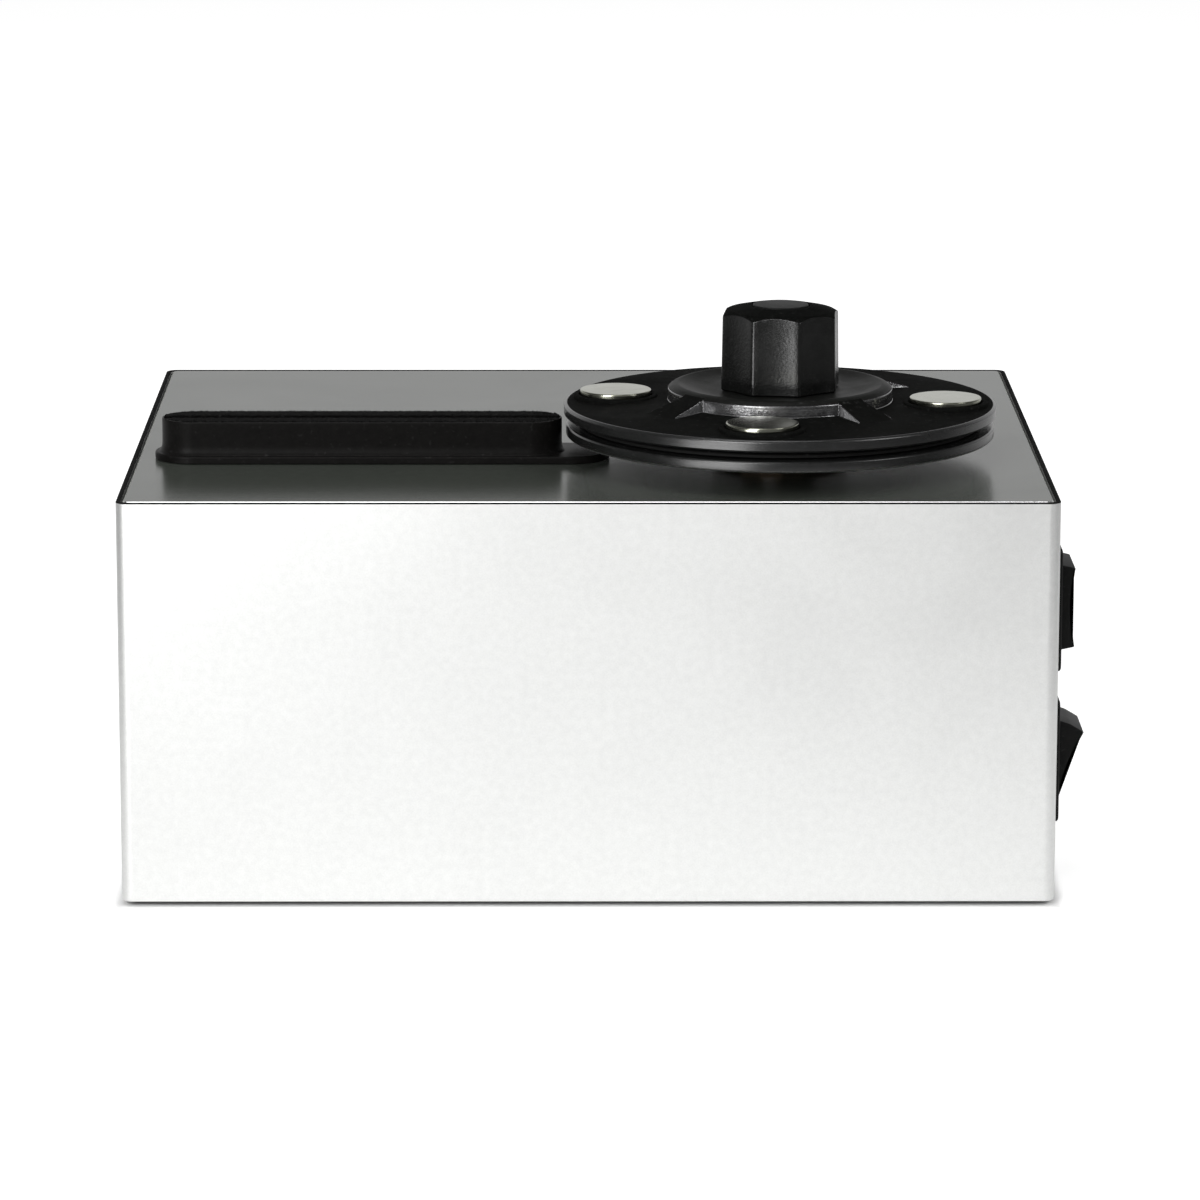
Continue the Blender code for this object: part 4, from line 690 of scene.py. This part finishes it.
def makeSeal():
    s = sealShape
    low, high = boxOf("clamp_seal")[0][2], boxOf("clamp_seal")[1][2]
    outer, inner, side, valley = s["outer"], s["inner"], low + s["lipHeight"], low + s["valleyRise"]
    section = softened([(inner, side), (inner, high), (outer, high), (outer, side), (outer - s["lip"], low),
                        (outer - s["valley"], valley), (inner + s["valley"], valley),
                        (inner + s["lip"], low)], 0.25, 3, True)
    addPiece("clamp_seal_lips", turnedMesh(section, 192, spindle, loop=True), rubber, "record_clamp",
             "black_rubber", "clamp_seal")


makeClamp()
makeSeal()
print("clamp made")


# Knob: an eight-sided outline with round corners; at each point the wall rises to a turned cone

knobShape = dict(
    corner=15.6, taper=0.3, height=20.9, chamferWidth=2.1, chamferHeight=1.3, dome=1.1, round=1.1,
    hollow=0.30, turn=-6.5, low=6.8, edge=0.3, cap=7.0, capRim=1.2, capProud=0.25, capThick=0.9, capPlay=0.3,
    capSeat=1.0)


def knobOutline(taper):
    # Each corner's centre plus its radius: a prism whose flats stand at the tapered distance.
    # Points along each flat, dished inward between its corners, keep the cone's arc smooth on it
    half = 22.5
    middles = 2 * half * np.arange(8)[:, None] + half
    centre = knobShape["corner"] - (taper + knobShape["round"]) / cos(radians(half))
    turns = np.radians(middles + np.linspace(-half, half, 9))
    blocks = centre * around(np.radians(middles)) + knobShape["round"] * around(turns)
    along = np.linspace(0, 1, 11)[1:-1, None]
    between = blocks[:, -1:] * (1 - along) + np.roll(blocks, -1, 0)[:, :1] * along
    between -= knobShape["hollow"] * 4 * along * (1 - along) * around(np.radians(middles + half))
    return np.concatenate([blocks, between], 1).reshape(-1, 2)


def makeKnob():
    k = knobShape
    height, soft, cap = k["height"], k["edge"], k["cap"]
    crown, crownEdge = k["corner"] - k["chamferWidth"], height - k["dome"]
    base, top = knobOutline(0), knobOutline(k["taper"])

    def ringAt(level):  # the level may differ at each point
        share = (level / height)[:, None]
        return lifted(base * (1 - share) + top * share, level)

    limit = np.full(len(base), crownEdge)
    for _ in range(4):  # the wall's top lies where it meets the cone
        reach = lengthsOf(ringAt(limit)[:, :2])[:, 0]
        limit = np.minimum(crownEdge, crownEdge - k["chamferHeight"] * (reach - crown) / k["chamferWidth"])
    edge, below = ringAt(limit), ringAt(limit - soft)
    direction = edge[:, :2] / lengthsOf(edge[:, :2])
    crownRing = lifted(direction * crown, crownEdge)
    toCrown = crownRing - edge
    inward = edge + toCrown * np.minimum(soft / np.maximum(lengthsOf(toCrown), 1e-6), 0.5)
    rows = [ringAt(limit * 0) * (0.985, 0.985, 1), ringAt(limit * 0 + 0.2)]
    rows += [ringAt((limit - soft) * share) for share in (0.25, 0.5, 0.75)]
    rows += [(1 - t) ** 2 * below + 2 * t * (1 - t) * edge + t ** 2 * inward for t in np.linspace(0, 1, 6)]
    rows.append((inward + crownRing) / 2)
    hole, seat = cap + k["capPlay"], height - k["capSeat"]
    upper = softened([(crown + 0.4, crownEdge - 0.35), (crown, crownEdge), (cap + k["capRim"], height),
                      (hole, height), (hole, seat), (0, seat)], [0, 0.5, 0.4, 0.12, 0.1, 0], 4)
    rows += [lifted(direction * reach, level) for reach, level in upper[2:]]  # two are on the chamfer already
    place = (spindleX, spindleY, clampUnder + k["low"])
    turn = radians(k["turn"])
    mesh = shell(placed(rows, place, "up", turn))
    paintFaces(mesh, faceData(mesh)[0][:, 2] > 0.35, 1)
    addPiece("knob_grip", mesh, [knobBlack, crownBlack], "record_clamp", "black_satin", "clamp_knob")

    high, soft = height + k["capProud"], 0.15
    low = high - k["capThick"]
    disc = softened([(0, high), (cap - soft, high), (cap, high - soft), (cap, low), (0, low)],
                    [0, 0.15, 0.15, 0.1, 0], 4)
    addPiece("knob_cap_disc", turnedMesh(disc, 96, place, "up", turn), capBlack, "record_clamp",
             "black_moulded", "knob_cap")


makeKnob()
print("knob made")


# Suction head: one outline with round ends carried up a stepped and filleted side

headShape = dict(
    gap=0.3, half=8.25, step=1.8, flange=1.7, flangeRound=0.425, reach=10.2, fillet=2.4, top=10.15,
    topRound=0.4, slot=1.0, slotMargin=7.0, ductHalf=4.0, ductRoof=5.8, spigot=7.0, spigotBore=5.6,
    lipInset=0.5, lipLow=9.1, lipTop=10.2, lipGap=0.3, recessGap=0.04)
headLow, headHigh = boxOf("suction_head")
headStart = headLow[0] + headShape["step"]
headEnd = headHigh[0] - headShape["step"] - headShape["reach"]
headLength = headEnd - headStart
headPlace = (0, spindleY, deck + headShape["gap"])
headMiddle = ((headStart + headEnd) / 2, spindleY, headPlace[2])


def makeHead():
    h = headShape
    step, flange, soft, half, over = h["step"], h["flange"], h["flangeRound"], h["half"], h["top"] + 1.85
    turns = swing(0, 90, 9)
    rows = [(step, 0.0), (step, 0.15), (step, flange - soft - 0.025)]
    rows += [(step - soft * (1 - cos(t)), flange - soft * (1 - sin(t))) for t in turns]
    rings = [stadiumRing(headStart - out, headEnd + out + h["reach"], half + out, z) for out, z in rows]
    rows = [(0.95 * (1 - sin(t)), flange + h["fillet"] * (1 - cos(t))) for t in turns]
    rows += [(0, height) for height in (5.2, 6.8, 8.4)]
    rows += [(-0.22 * (1 - cos(t)), h["top"] - h["topRound"] * (1 - sin(t))) for t in turns]
    rings += [stadiumRing(headStart - out, headEnd + out, half + out, z) for out, z in rows]
    middle, y, base = headMiddle
    slotHalf, roof = headLength / 2 - h["slotMargin"], h["ductRoof"]
    ductSize = (slotHalf, h["ductHalf"], (roof - flange) / 2)
    duct = blockMesh((middle, y, base + (roof + flange) / 2), ductSize, 1.0)
    slotStart, slotEnd, inset = middle - slotHalf, middle + slotHalf, h["lipInset"] - h["recessGap"]
    slot = [stadiumRing(slotStart, slotEnd, h["slot"], z, 12) for z in (2.8, over)]
    recess = [stadiumRing(headStart + inset, headEnd - inset, half - inset, z)
              for z in (h["lipLow"] - h["recessGap"], over)]
    foot, wide = headLow[2] - base, h["spigot"]
    spigot = turnedMesh([(wide, 0.8), (wide, foot + 0.4), (wide - 0.4, foot), (0, foot)], 64, headMiddle)
    bore = rodMesh(h["spigotBore"], foot - 1, 2.2, headMiddle)
    cuts = [duct, shell(placed(slot, headPlace)), bore, shell(placed(recess, headPlace))]
    addPiece("head_block", carved(shell(placed(rings, headPlace)), cuts, [spigot]), headBlack, "cabinet",
             "black_moulded", "suction_head")


pile = dict(
    count=5200, length=(0.20, 0.42), edgeLength=1.2, root=0.12, width=0.10, spread=0.22, outerLean=0.2,
    slotLean=-1.0, outerBand=0.9, slotBand=0.5, waves=((0.10, 2.1, 0.0), (0.07, 5.3, 1.3), (0.04, 11.0, 0.0)))


def lipMesh(sign, half, split, endCentre):
    # Half an outline with round ends and a straight side on the slot; its upper edges waver by a few sines
    low, high = headShape["lipLow"], headShape["lipTop"]
    turn = degrees(asin(split / half))
    slotEnd = endCentre + half * cos(radians(turn)) - 0.6
    outline = np.concatenate([half * around(swing(-90, -turn, 20)) + (endCentre, 0),
                              [(x, -split) for x in np.linspace(slotEnd, -slotEnd, 160)],
                              half * around(swing(180 + turn, 270, 20)) - (endCentre, 0),
                              [(x, -half) for x in np.linspace(-endCentre, endCentre, 160)[1:-1]]])
    outline[:, 1] *= sign
    wave = sum(size * np.sin(outline[:, 0] * pace + start) for size, pace, start in pile["waves"])
    inward = np.sign(-sign * (half + split) / 2 - outline[:, 1])
    rows = []
    for inset, height in ((0.0, low), (0.0, low + 0.78), (0.12, high - 0.1), (0.4, high - 0.02), (1.0, high)):
        ring = outline.copy()
        ring[:, 1] += inward * inset * (1 + wave)
        rows.append(lifted(ring, height + wave * (height > low + 0.8) * 0.6))
    return shell(placed(rows, headMiddle))


def pileMesh(random, sign, half, split, endCentre):
    # A field of short leaning spikes, three-sided, that lean over the slot and over the outer edge
    x = random.uniform(-endCentre - half * 0.75, endCentre + half * 0.75, pile["count"])
    y = random.uniform(split, half, pile["count"])
    keep = np.hypot(np.maximum(np.abs(x) - endCentre, 0), y) < half - 0.05
    x, y = x[keep], -sign * y[keep]
    count = len(x)
    outer = np.abs(y) > half - pile["outerBand"]
    edgeward = outer | (np.abs(y) < split + pile["slotBand"])
    length = random.uniform(*pile["length"], count) * np.where(edgeward, pile["edgeLength"], 1.0)
    lean = random.normal(0, pile["spread"], (count, 2))
    lean[:, 1] += np.where(edgeward, np.sign(y) * np.where(outer, pile["outerLean"], pile["slotLean"]), 0)
    angles = random.uniform(0, 2 * pi, count)[:, None] + np.array([0, 2.094, 4.189])
    root = np.column_stack([x, y, np.full(count, headShape["lipTop"] - pile["root"])])
    points = np.stack([root, root, root, root + lifted(lean, length)], 1)
    points[:, :3, :2] += pile["width"] * around(angles)
    first = np.arange(count)[:, None] * 4
    faces = np.concatenate([first + (0, 1, 3), first + (1, 2, 3), first + (2, 0, 3), first + (2, 1, 0)])
    mesh = bpy.data.meshes.new("pile")
    mesh.from_pydata(((points.reshape(-1, 3) + headMiddle) * mm).tolist(), [], faces.tolist())
    return mesh


def makeLips():
    h = headShape
    random = np.random.default_rng(7)
    half, split, endCentre = h["half"] - h["lipInset"], h["slot"] + h["lipGap"], headLength / 2 - h["half"]
    for side, sign in (("front", 1), ("back", -1)):
        shape = (sign, half, split, endCentre)
        mesh = merged([lipMesh(*shape), pileMesh(random, *shape)])
        addPiece("lip_pile_" + side, mesh, felt, "cabinet", "black_felt", "lip_" + side)


makeHead()
makeLips()
print("suction head made")


# Rocker switches: a bezel with its tub, and a rocker turned about its pivot

switchShape = dict(
    gap=0.3, bezel=(31.0, 25.5), thick=2.0, bezelRound=1.4, bezelFall=0.7, opening=(25.4, 18.8),
    openingRound=0.5, tub=(28.0, 22.0), tubLength=19.0, cavity=13.0, pivot=2.8, bearing=1.8, axle=1.5,
    half=10.0, reach=3.8, dish=0.85, depth=18.0, edge=0.45, body=3.6, shoulder=0.8, skirt=1.0, throw=19.0)


def makeBezel(level, y, z, pivotX):
    # Rings of a rectangle, from the cavity's bottom over the bezel's rounded face and back to the tub's end
    s = switchShape
    face, soft, crown, length = s["thick"], s["openingRound"], s["bezelRound"], s["tubLength"]
    (bezelH, bezelD), (openH, openD), (tubH, tubD) = s["bezel"], s["opening"], s["tub"]
    floor = face - s["cavity"]
    rows = [(openH - 0.4, openD - 0.4, 0.3, floor + 0.3), (openH, openD, 0.4, floor + 0.8),
            (openH, openD, 0.4, face - soft)]
    for t in swing(0, 90, 6):
        out = soft * (1 - cos(t))
        rows.append((openH + out, openD + out, 0.5, face - soft * (1 - sin(t))))
    for t in swing(0, 90, 7):
        inset = crown * (1 - sin(t))
        rows.append((bezelH - inset, bezelD - inset, 1.2, face - s["bezelFall"] * (1 - cos(t))))
    rows += [(bezelH, bezelD, 1.2, 0.15), (bezelH - 0.3, bezelD - 0.3, 1.1, 0), (tubH, tubD, 0.5, 0),
             (tubH, tubD, 0.5, 1 - length), (tubH - 1, tubD - 1, 0.5, -length)]
    holder = shell(placed(rectRings(rows, 8), (right + s["gap"], y, z), "right"))
    bearing = rodMesh(s["bearing"], -14, 14, (pivotX, y, z), "back", 32)
    addPiece("switch_bezel_" + level, carved(holder, [bearing]), moulded, "cabinet", "black_moulded",
             "switch_frame_" + level)


def rockerOutline():
    # A dished face on a large circle, sloped ends and a body that narrows behind the pivot
    s = switchShape
    half, dish, side = s["half"], s["dish"], s["half"] + s["shoulder"]
    out = s["pivot"] + s["thick"] + s["reach"]
    curve = (half ** 2 + dish ** 2) / (2 * dish)
    limit = degrees(asin(half / curve))
    face = curve * around(swing(180 - limit, 180 + limit, 40)) + (out - dish + curve, 0)
    lowSide = [(out - s["reach"], -side), (s["skirt"], -side), (-s["body"], -half / 2)]
    highSide = [(x, -v) for x, v in reversed(lowSide)]
    rounding = [0.55] + [0.1] * (len(face) - 2) + [0.55] + [0.5, 0.4, 0.6, 0.6, 0.4, 0.5]
    outline = softened([*face, *lowSide, *highSide], rounding, 5, True)
    return outline[lengthsOf(outline - np.roll(outline, 1, 0))[:, 0] > 1e-6]


def makeRocker(level, y, z, pivotX, tilt):
    s = switchShape
    outline = rockerOutline()
    ahead = np.roll(outline, -1, 0) - np.roll(outline, 1, 0)
    normal = np.column_stack([ahead[:, 1], -ahead[:, 0]])
    normal /= lengthsOf(normal)
    area = np.sum(outline[:, 0] * np.roll(outline[:, 1], -1) - np.roll(outline[:, 0], -1) * outline[:, 1])
    normal *= -np.sign(area)  # into the outline
    depth, edge = s["depth"] / 2, s["edge"]
    rows = [(-depth + edge * (1 - cos(t)), edge * (1 - sin(t))) for t in swing(0, 90, 6)]
    rows += [(-place, inset) for place, inset in reversed(rows)]
    rings = np.stack([lifted(outline + normal * inset, place) for place, inset in rows])
    # The outline's first axis points out of the wall and its second up; a top that tips out turns towards +X
    angle = radians(tilt)
    out, up = rings[..., 0], rings[..., 1]
    turned = [pivotX + out * cos(angle) + up * sin(angle), y + rings[..., 2],
              z - out * sin(angle) + up * cos(angle)]
    axle = rodMesh(s["axle"], -10.2, 10.2, (pivotX, y, z), "back", 32)
    addPiece("rocker_key_" + level, carved(shell(np.stack(turned, 2)), joins=[axle]), moulded,
             level + "_rocker", "black_moulded", "rocker_" + level)


for level, tilt in (("upper", 0.0), ("lower", switchShape["throw"])):
    _, y, z = middleOf("switch_frame_" + level)
    pivotX = right - switchShape["pivot"]
    makeBezel(level, y, z, pivotX)
    makeRocker(level, y, z, pivotX, tilt)
print("switches made")


# Drain at the back: a soft cap with grip ribs, and the spout that it closes

drainShape = dict(
    cap=10.8, capWidth=5.8, grip=7.0, gripFrom=3.3, gripTo=5.3, capHole=4.3, capRoof=9.3, ribs=20,
    ribDepth=0.022, bore=2.6, spout=4.0, spoutReach=9.0, flange=7.5, flangeFrom=-3.5, flangeTo=-1.5)


def makeDrain():
    d = drainShape
    x, _, z = middleOf("drain_cap")
    place = (x, back, z)
    high, wide, low, top, grip = d["cap"], d["capWidth"], d["gripFrom"], d["gripTo"], d["grip"]
    hole, roof, bore, spout = d["capHole"], d["capRoof"], d["bore"], d["spout"]
    cap = softened([(0, high), (wide, high), (wide, top), (grip, top), (grip, low), (hole, low), (hole, roof),
                    (0, roof)], [0, 0.9, 0.6, 0.5, 0.3, 0.2, 0.3, 0], 5)
    rings = turnedRings(cap, 120)
    wave = d["ribDepth"] * np.cos(d["ribs"] * np.linspace(0, 2 * pi, 120, endpoint=False))
    onGrip = (np.abs(cap[:, 1] - (low + top) / 2) < 1.2) & (cap[:, 0] > grip - 0.5)
    rings[..., :2] *= np.minimum(1 + wave * onGrip[:, None], 1.0)[..., None]
    addPiece("drain_cap_soft", shell(placed(rings, place, "back")), rubber, "drain_stopper", "black_rubber",
             "drain_cap")
    flange, inner, outer = d["flange"], d["flangeFrom"], d["flangeTo"]
    section = softened([(bore, d["spoutReach"]), (spout, d["spoutReach"]), (spout, outer), (flange, outer),
                        (flange, inner), (bore, inner)], 0.25, 3, True)
    addPiece("drain_spout", turnedMesh(section, 64, place, "back", loop=True), moulded, "cabinet",
             "black_moulded", "drain_nozzle")


makeDrain()


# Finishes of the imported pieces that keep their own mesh

nodeFinishes = (
    (deckFinish, ["top_plate"]),
    (darkSteel, ["base_plate", "motor_saddle"]),
    (steel, ["spindle", "keeper_ring", "motor_shaft", "gear_motor", "motor_plate"]),
    (darkBronze, ["spindle_bush"]),
    (nylon, ["thrust_washer"]),
    (brass, ["shaft_coupling"]),
    (milkyPlastic, ["waste_tank"]),
    (moulded, ["tank_lid", "blower_housing", "blower_cover", "blower_wheel", "drain_nut", "power_inlet",
               "fuse_drawer", "capacitor_clip"]),
    (tubeRubber, ["intake_sleeve", "drain_tube"]),
    (glass, ["fuse"]),
    (nickel, ["contact_live", "contact_neutral", "contact_earth"]),
    (canMetal, ["blower_motor", "run_capacitor"] + ["corner_post_" + corner for corner in corners]))

for finish, nodes in nodeFinishes:
    for node in nodes:
        for slot in bpy.data.objects[node].material_slots:
            slot.link = "OBJECT"
            slot.material = finish
print("packed pieces finished")


# Floor, light and camera; lengths in metres

studio = dict(
    ambient=0.55, horizon=1.0, overhead=0.20, side=0.22, frontWall=0.36, sideFrom=(0.6, 0.97),
    overheadFrom=(0.25, 0.6), frontFrom=(-0.5, 0.2))
floorLook = dict(
    reach=7.0, shade=0.86, lift=0.50, contact=(0.0, 0.004), around=0.18, aroundFrom=(0.28, 0.62),
    behindFrom=(0.0, 0.5))


def makeFloor():
    # The camera sees a white floor except right under the housing and just round it, where the missing glow
    # leaves a painted shade over the real contact shadow; mirrors see it darker far out in front
    f = floorLook
    far = f["reach"]
    mesh = bpy.data.meshes.new("studioFloor")
    mesh.from_pydata([(-far, -far, 0), (far, -far, 0), (far, far, 0), (-far, far, 0)], [], [(0, 1, 2, 3)])
    floor = newObject("studioFloor", mesh)
    material = bpy.data.materials.new("paleFloor")
    material.use_nodes = True
    tree = material.node_tree
    tree.nodes.remove(tree.nodes["Principled BSDF"])
    path = addNode(tree, "LightPath").outputs
    place = placeIn(tree)
    offset = calc(tree, "SUBTRACT", place, (housingX * mm, housingY * mm, 0), kind="VectorMath")
    half = ((right - left) / 2 * mm, (back - front) / 2 * mm, 0)
    past = calc(tree, "SUBTRACT", calc(tree, "ABSOLUTE", offset, kind="VectorMath"), half, kind="VectorMath")
    parts = partsOf(tree, past)
    # No glow under the housing and up to 4 mm round it: painted shade along the contact line
    outside = remap(tree, calc(tree, "MAXIMUM", parts[0], parts[1]), f["contact"], (0.0, f["lift"]), True)
    glow = addNode(tree, "Emission", {"Strength": calc(tree, "MULTIPLY", path["Is Camera Ray"], outside)})
    distance = calc(tree, "LENGTH", place, kind="VectorMath")
    shaded = remap(tree, distance, f["aroundFrom"], (0.0, 1 - f["around"]))
    ahead = remap(tree, partsOf(tree, place)[1], f["behindFrom"], (1.0, 0.0))
    darker = calc(tree, "MULTIPLY", calc(tree, "MULTIPLY", path["Is Glossy Ray"], shaded), ahead)
    matt, dark = (addNode(tree, "BsdfDiffuse", {"Color": (tone, tone, tone, 1)}).outputs[0]
                  for tone in (f["shade"], 0.0))
    seen = addNode(tree, "MixShader", {0: darker, 1: matt, 2: dark})
    both = addNode(tree, "AddShader", {0: seen.outputs[0], 1: glow.outputs[0]})
    tree.links.new(both.outputs[0], tree.nodes["Material Output"].inputs["Surface"])
    mesh.materials.append(material)


def makeWorld():
    # Soft even light; mirrors see a white studio that darkens overhead, far to both sides and in front
    world = bpy.data.worlds.new("studioWorld")
    world.use_nodes = True
    bpy.context.scene.world = world
    tree = world.node_tree
    tree.nodes.clear()
    path = addNode(tree, "LightPath").outputs
    mirrored = calc(tree, "MAXIMUM", path["Is Glossy Ray"], path["Is Transmission Ray"])
    parts = partsOf(tree, addNode(tree, "TexCoord").outputs["Generated"])
    sideways = calc(tree, "ABSOLUTE", parts[0])
    aside = remap(tree, sideways, studio["sideFrom"], (studio["horizon"], studio["side"]), True)
    above = remap(tree, parts[2], studio["overheadFrom"], (1.0, studio["overhead"]), True)
    before = remap(tree, parts[1], studio["frontFrom"], (studio["frontWall"], 1.0), True)
    level = calc(tree, "MULTIPLY", calc(tree, "MULTIPLY", aside, above), before)
    even, mirror, white = (addNode(tree, "Background", {"Strength": strength}).outputs[0]
                           for strength in (studio["ambient"], level, 1.0))
    lit = addNode(tree, "MixShader", {0: mirrored, 1: even, 2: mirror})
    shown = addNode(tree, "MixShader", {0: path["Is Camera Ray"], 1: lit.outputs[0], 2: white})
    addNode(tree, "OutputWorld", {"Surface": shown.outputs[0]})


lampTable = dict(
    frontLamp=dict(place=(-1.10, -2.14, 0.90), size=(1.2, 1.5), power=47.0),
    rightLamp=dict(place=(1.5, -0.9, 1.2), size=(0.7, 0.9), power=11.0),
    topLamp=dict(place=(-0.2, -0.2, 1.9), size=(1.0, 1.0), power=9.0),
    gleamCard=dict(place=(-0.150, -0.335, 0.055), size=(0.20, 0.10), power=0.38, aim=(0.044, -0.040, 0.105),
                   only=["platter_disc", "clamp_cone", "knob_grip", "magnet_disc_1", "magnet_disc_2",
                         "magnet_disc_3", "magnet_disc_4"]))


def makeLamps():
    # The gleam card is a low panel that lights only the pieces it names, as a reflector held close to them
    for name, lamp in lampTable.items():
        data = bpy.data.lights.new(name, "AREA")
        data.shape = "RECTANGLE"
        data.size, data.size_y = lamp["size"]
        data.energy = lamp["power"]
        made = newObject(name, data)
        aim = np.array(lamp["place"]) - lamp.get("aim", (0.0, 0.0, 0.08))
        aim = aim / np.linalg.norm(aim)
        made.rotation_euler = (acos(aim[2]), 0, atan2(aim[1], aim[0]) + pi / 2)
        made.location = lamp["place"]
        made.visible_camera = False
        if "only" in lamp:
            lit = bpy.data.collections.new(name + "Receivers")
            for piece in lamp["only"]:
                lit.objects.link(bpy.data.objects[piece])
            made.light_linking.receiver_collection = lit


cameraView = dict(
    place=(-0.00973, -1.47520, 0.37210), lens=173.2, sensor=36.0, pitch=12.107, yaw=0.343, roll=0.054,
    clip=(0.05, 40.0))


def makeCamera():
    v = cameraView
    data = bpy.data.cameras.new("photoCamera")
    data.lens, data.sensor_width = v["lens"], v["sensor"]
    data.clip_start, data.clip_end = v["clip"]
    made = newObject("photoCamera", data)
    turn = (Matrix.Rotation(-radians(v["yaw"]), 4, "Z") @ Matrix.Rotation(radians(90 - v["pitch"]), 4, "X")
            @ Matrix.Rotation(radians(v["roll"]), 4, "Z"))
    made.matrix_world = Matrix.Translation(v["place"]) @ turn
    bpy.context.scene.camera = made


makeFloor()
makeWorld()
makeLamps()
makeCamera()
bpy.context.scene.view_settings.view_transform = "Standard"
print("studio made")
